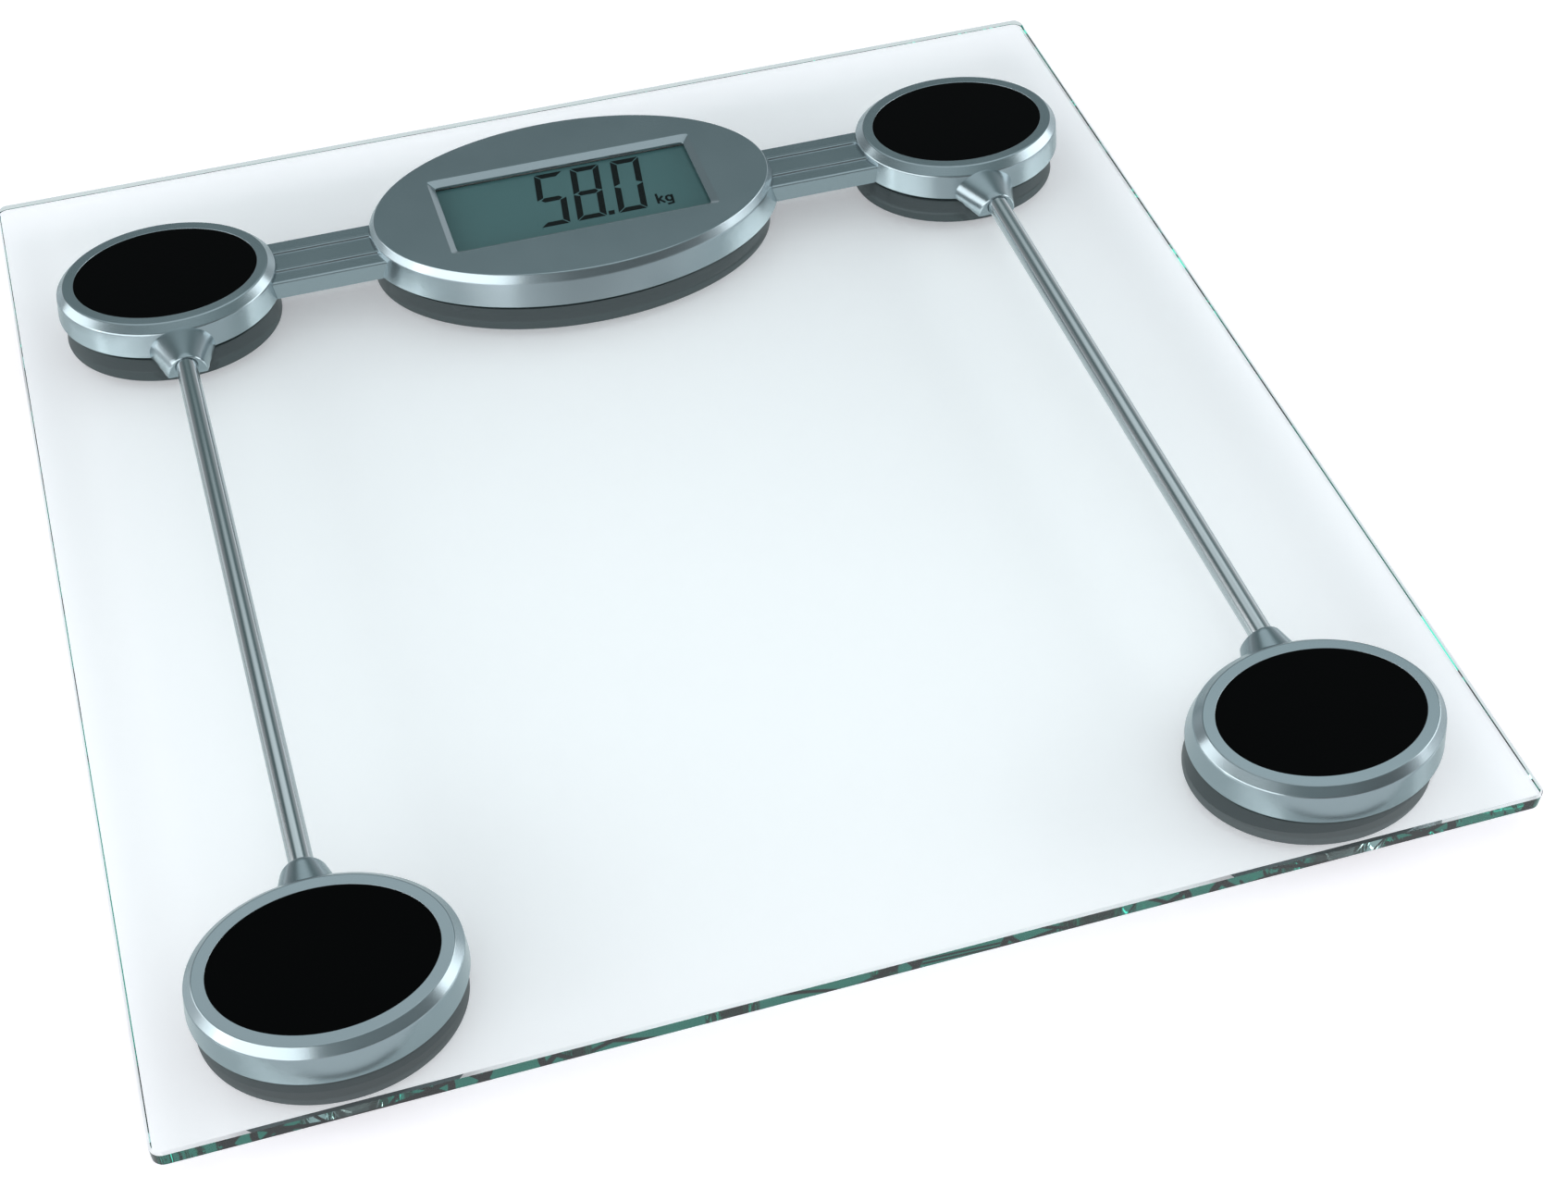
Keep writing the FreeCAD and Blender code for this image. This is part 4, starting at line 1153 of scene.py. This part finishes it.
@dataclass
class Studio:
    """Pale floor, soft lights, surroundings and camera. Places are in metres.

    The sky's rows are a height (the sine of the elevation), a level and the red's share of it. Light
    that was mirrored more than deep_path times, as along the inside of the glass plate, ends in
    deep_colour, a painted grey shade that darkens the plate's edges.
    """

    camera_at: Triple = (-0.1238, -0.42753, 0.45894)
    camera_turn: Triple = (41.758, 0.5585, -16.3685)
    lens: float = 53.727
    shift_x: float = 0.07375
    floor_half: float = 2.2
    floor_colour: tuple[float, ...] = (0.93, 0.89, 0.92, 1.0)
    floor_glow: tuple[float, ...] = (1.0, 0.94, 0.98, 1.0)
    floor_glow_level: float = 0.375
    # floor_mirrored: painted reflection, the flat grey that mirrored rays see on the floor instead of its
    # lit colour
    floor_mirrored: tuple[float, ...] = (0.74, 0.80, 0.82, 1.0)
    flag_ends: tuple[Pair, ...] = ((-0.15, -1.50), (1.25, -0.95))
    flag_heights: Pair = (0.265, 0.56)
    deep_path: float = 6.5
    # deep_colour: painted grey shade for light mirrored many times, as inside the glass plate
    deep_colour: tuple[float, ...] = (0.40, 0.40, 0.43, 1.0)
    sky: tuple[tuple[float, ...], ...] = (
        (0.0, 0.82, 0.95), (0.10, 0.72, 0.95), (0.22, 0.40, 0.95), (0.45, 0.30, 0.85), (0.60, 0.15, 0.68),
        (0.67, 0.22, 0.72), (0.74, 0.80, 0.88), (0.78, 0.92, 0.88), (0.84, 0.68, 0.90), (1.0, 0.75, 0.92))
    sky_blue: float = 1.03
    sky_slant: float = 0.25
    lamps: tuple[Lamp, ...] = (
        Lamp("overhead", (-0.25, -0.1, 1.7), (1.7, 1.7), 4.5, (0.0, 0.0, 0.0), mirrored=False),
        Lamp("front_left_panel", (-1.3, -1.2, 0.6), (1.8, 0.75), 10.5),
        Lamp("left_panel", (-1.75, 0.15, 0.6), (1.8, 0.75), 9.5),
        Lamp("right_panel", (1.7, -0.2, 0.6), (1.4, 0.75), 8.0))

    def build(self) -> None:
        """Build the whole studio."""
        self.floor()
        self.surroundings()
        for lamp in self.lamps:
            lamp.build()
        self.flag()
        self.camera()
        self.rendering()

    def deep(self, tree: NodeTree, ray: ShaderNode) -> NodeSocket:
        """Output that is 1 for a ray mirrored more than deep_path times, and 0 for any other."""
        return calc(tree, "GREATER_THAN", ray.outputs["Glossy Depth"], self.deep_path)

    def floor(self) -> None:
        """Pale glowing floor at height 0, a painted flat grey in reflections instead of its lit colour, and
        clear when seen from below.
        """
        line = np.linspace(-self.floor_half, self.floor_half, 9)
        x, y = np.meshgrid(line, line)
        points = np.stack([x.ravel(), y.ravel(), np.zeros(x.size)], axis=-1) / MM
        index = np.arange(x.size).reshape(x.shape)
        quads = np.stack([index[:-1, :-1], index[:-1, 1:], index[1:, 1:], index[1:, :-1]], axis=-1)
        floor = mesh_object("studio_floor", [Skin(points, quads.reshape(-1, 4))])
        material = bpy.data.materials.new("pale_floor")
        material.use_nodes = True
        tree = material.node_tree
        shader = tree.nodes["Principled BSDF"]
        set_inputs(shader, {"Base Color": self.floor_colour, "Roughness": 0.9, "Specular IOR Level": 0.1,
                            "Emission Color": self.floor_glow,
                            "Emission Strength": self.floor_glow_level})
        ray = tree.nodes.new("ShaderNodeLightPath")
        # painted reflection: mirrored rays see a flat grey emission instead of the lit floor, and
        # deep_colour's painted shade after deep_path mirrorings
        mirrored = tree.nodes.new("ShaderNodeEmission")
        shown = colour_mix(tree, self.deep(tree, ray), self.floor_mirrored, self.deep_colour)
        tree.links.new(shown, mirrored.inputs["Color"])
        above = shader_mix(tree, ray.outputs["Glossy Depth"], shader.outputs[0], mirrored.outputs[0])
        side = tree.nodes.new("ShaderNodeNewGeometry")
        through = tree.nodes.new("ShaderNodeBsdfTransparent")
        both = shader_mix(tree, side.outputs["Backfacing"], above, through.outputs[0])
        tree.links.new(both, tree.nodes["Material Output"].inputs["Surface"])
        floor.data.materials.append(material)

    def flag(self) -> None:
        """Black sheet that only reflections show, low down before the right half of the front: a painted
        dark reflection on the silver shells.
        """
        left, right = np.array(self.flag_ends)
        low, high = self.flag_heights
        corners = [(*left, low), (*right, low), (*right, high), (*left, high)]
        sheet = mesh_object("black_flag", [Skin(np.array(corners) / MM, np.array([[0, 1, 2, 3]]))])
        # painted dark reflection: this black sheet is seen only in reflections
        material = bpy.data.materials.new("painted_dark_reflection")
        material.use_nodes = True
        shader = material.node_tree.nodes["Principled BSDF"]
        set_inputs(shader, {"Base Color": (0.02, 0.02, 0.02, 1.0), "Roughness": 1.0})
        sheet.data.materials.append(material)
        sheet.visible_camera = sheet.visible_diffuse = False
        sheet.visible_transmission = sheet.visible_shadow = False

    def surroundings(self) -> None:
        """White for the camera; for other rays a sky with a dim belt, brighter towards +X, and a painted
        grey shade for rays mirrored more than deep_path times.
        """
        world = bpy.data.worlds.new("studio")
        bpy.context.scene.world = world
        world.use_nodes = True
        tree = world.node_tree
        nodes, links = tree.nodes, tree.links
        place = nodes.new("ShaderNodeTexCoord")
        split = nodes.new("ShaderNodeSeparateXYZ")
        links.new(place.outputs["Generated"], split.inputs[0])
        height = nodes.new("ShaderNodeValToRGB")
        ramp = height.color_ramp
        while len(ramp.elements) < len(self.sky):
            ramp.elements.new(0.5)
        for element, (position, level, warmth) in zip(ramp.elements, self.sky):
            element.position = position
            element.color = (level * warmth, level, level * self.sky_blue, 1.0)
        links.new(split.outputs["Z"], height.inputs[0])
        slanted = nodes.new("ShaderNodeVectorMath")
        slanted.operation = "SCALE"
        links.new(height.outputs["Color"], slanted.inputs[0])
        gain = calc(tree, "MULTIPLY_ADD", split.outputs["X"], self.sky_slant, 1.0)
        links.new(gain, slanted.inputs["Scale"])
        ray = nodes.new("ShaderNodeLightPath")
        # painted shade: rays mirrored more than deep_path times see deep_colour instead of the sky
        mirrored = colour_mix(tree, self.deep(tree, ray), slanted.outputs[0], self.deep_colour)
        colour = colour_mix(tree, ray.outputs["Is Camera Ray"], mirrored, WHITE)
        links.new(colour, nodes["Background"].inputs["Color"])

    def camera(self) -> None:
        """Camera at its fitted place."""
        lens = bpy.data.cameras.new("camera")
        lens.sensor_width = 36.0
        lens.lens = self.lens
        lens.shift_x = self.shift_x
        lens.clip_start = 0.01
        camera = bpy.data.objects.new("camera", lens)
        bpy.context.scene.collection.objects.link(camera)
        camera.location = self.camera_at
        camera.rotation_euler = [math.radians(angle) for angle in self.camera_turn]
        bpy.context.scene.camera = camera

    @staticmethod
    def rendering() -> None:
        """Plain colours, and enough bounces to follow light along the inside of the glass plate."""
        scene = bpy.context.scene
        scene.view_settings.view_transform = "Standard"
        scene.view_settings.look = "None"
        cycles = scene.cycles
        cycles.max_bounces = cycles.transmission_bounces = cycles.glossy_bounces = 90
        cycles.diffuse_bounces = 4
        cycles.transparent_max_bounces = 16
        cycles.caustics_reflective = False
        cycles.caustics_refractive = True
        cycles.min_light_bounces = 48
        cycles.sample_clamp_indirect = 4.0


def main() -> None:
    """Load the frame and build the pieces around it."""
    logging.basicConfig(level=logging.INFO, format="%(name)s %(message)s")
    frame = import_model()
    shop = Workshop(frame, Layout.read(), Paintbox())
    pods = [Pod("front_left", 1, **FRONT_SOCKET), Pod("front_right", 1, **FRONT_SOCKET),
            Pod("rear_left", -1), Pod("rear_right", -1)]
    display = Display()
    for pod in pods:
        pod.build(shop)
    for side in ("left", "right"):
        Tube(side).build(shop)
        Bar(side, pods[-1], display).build(shop)
    display.build(shop)
    finish_nodes(shop)
    Studio().build()


if __name__ == "__main__":
    main()
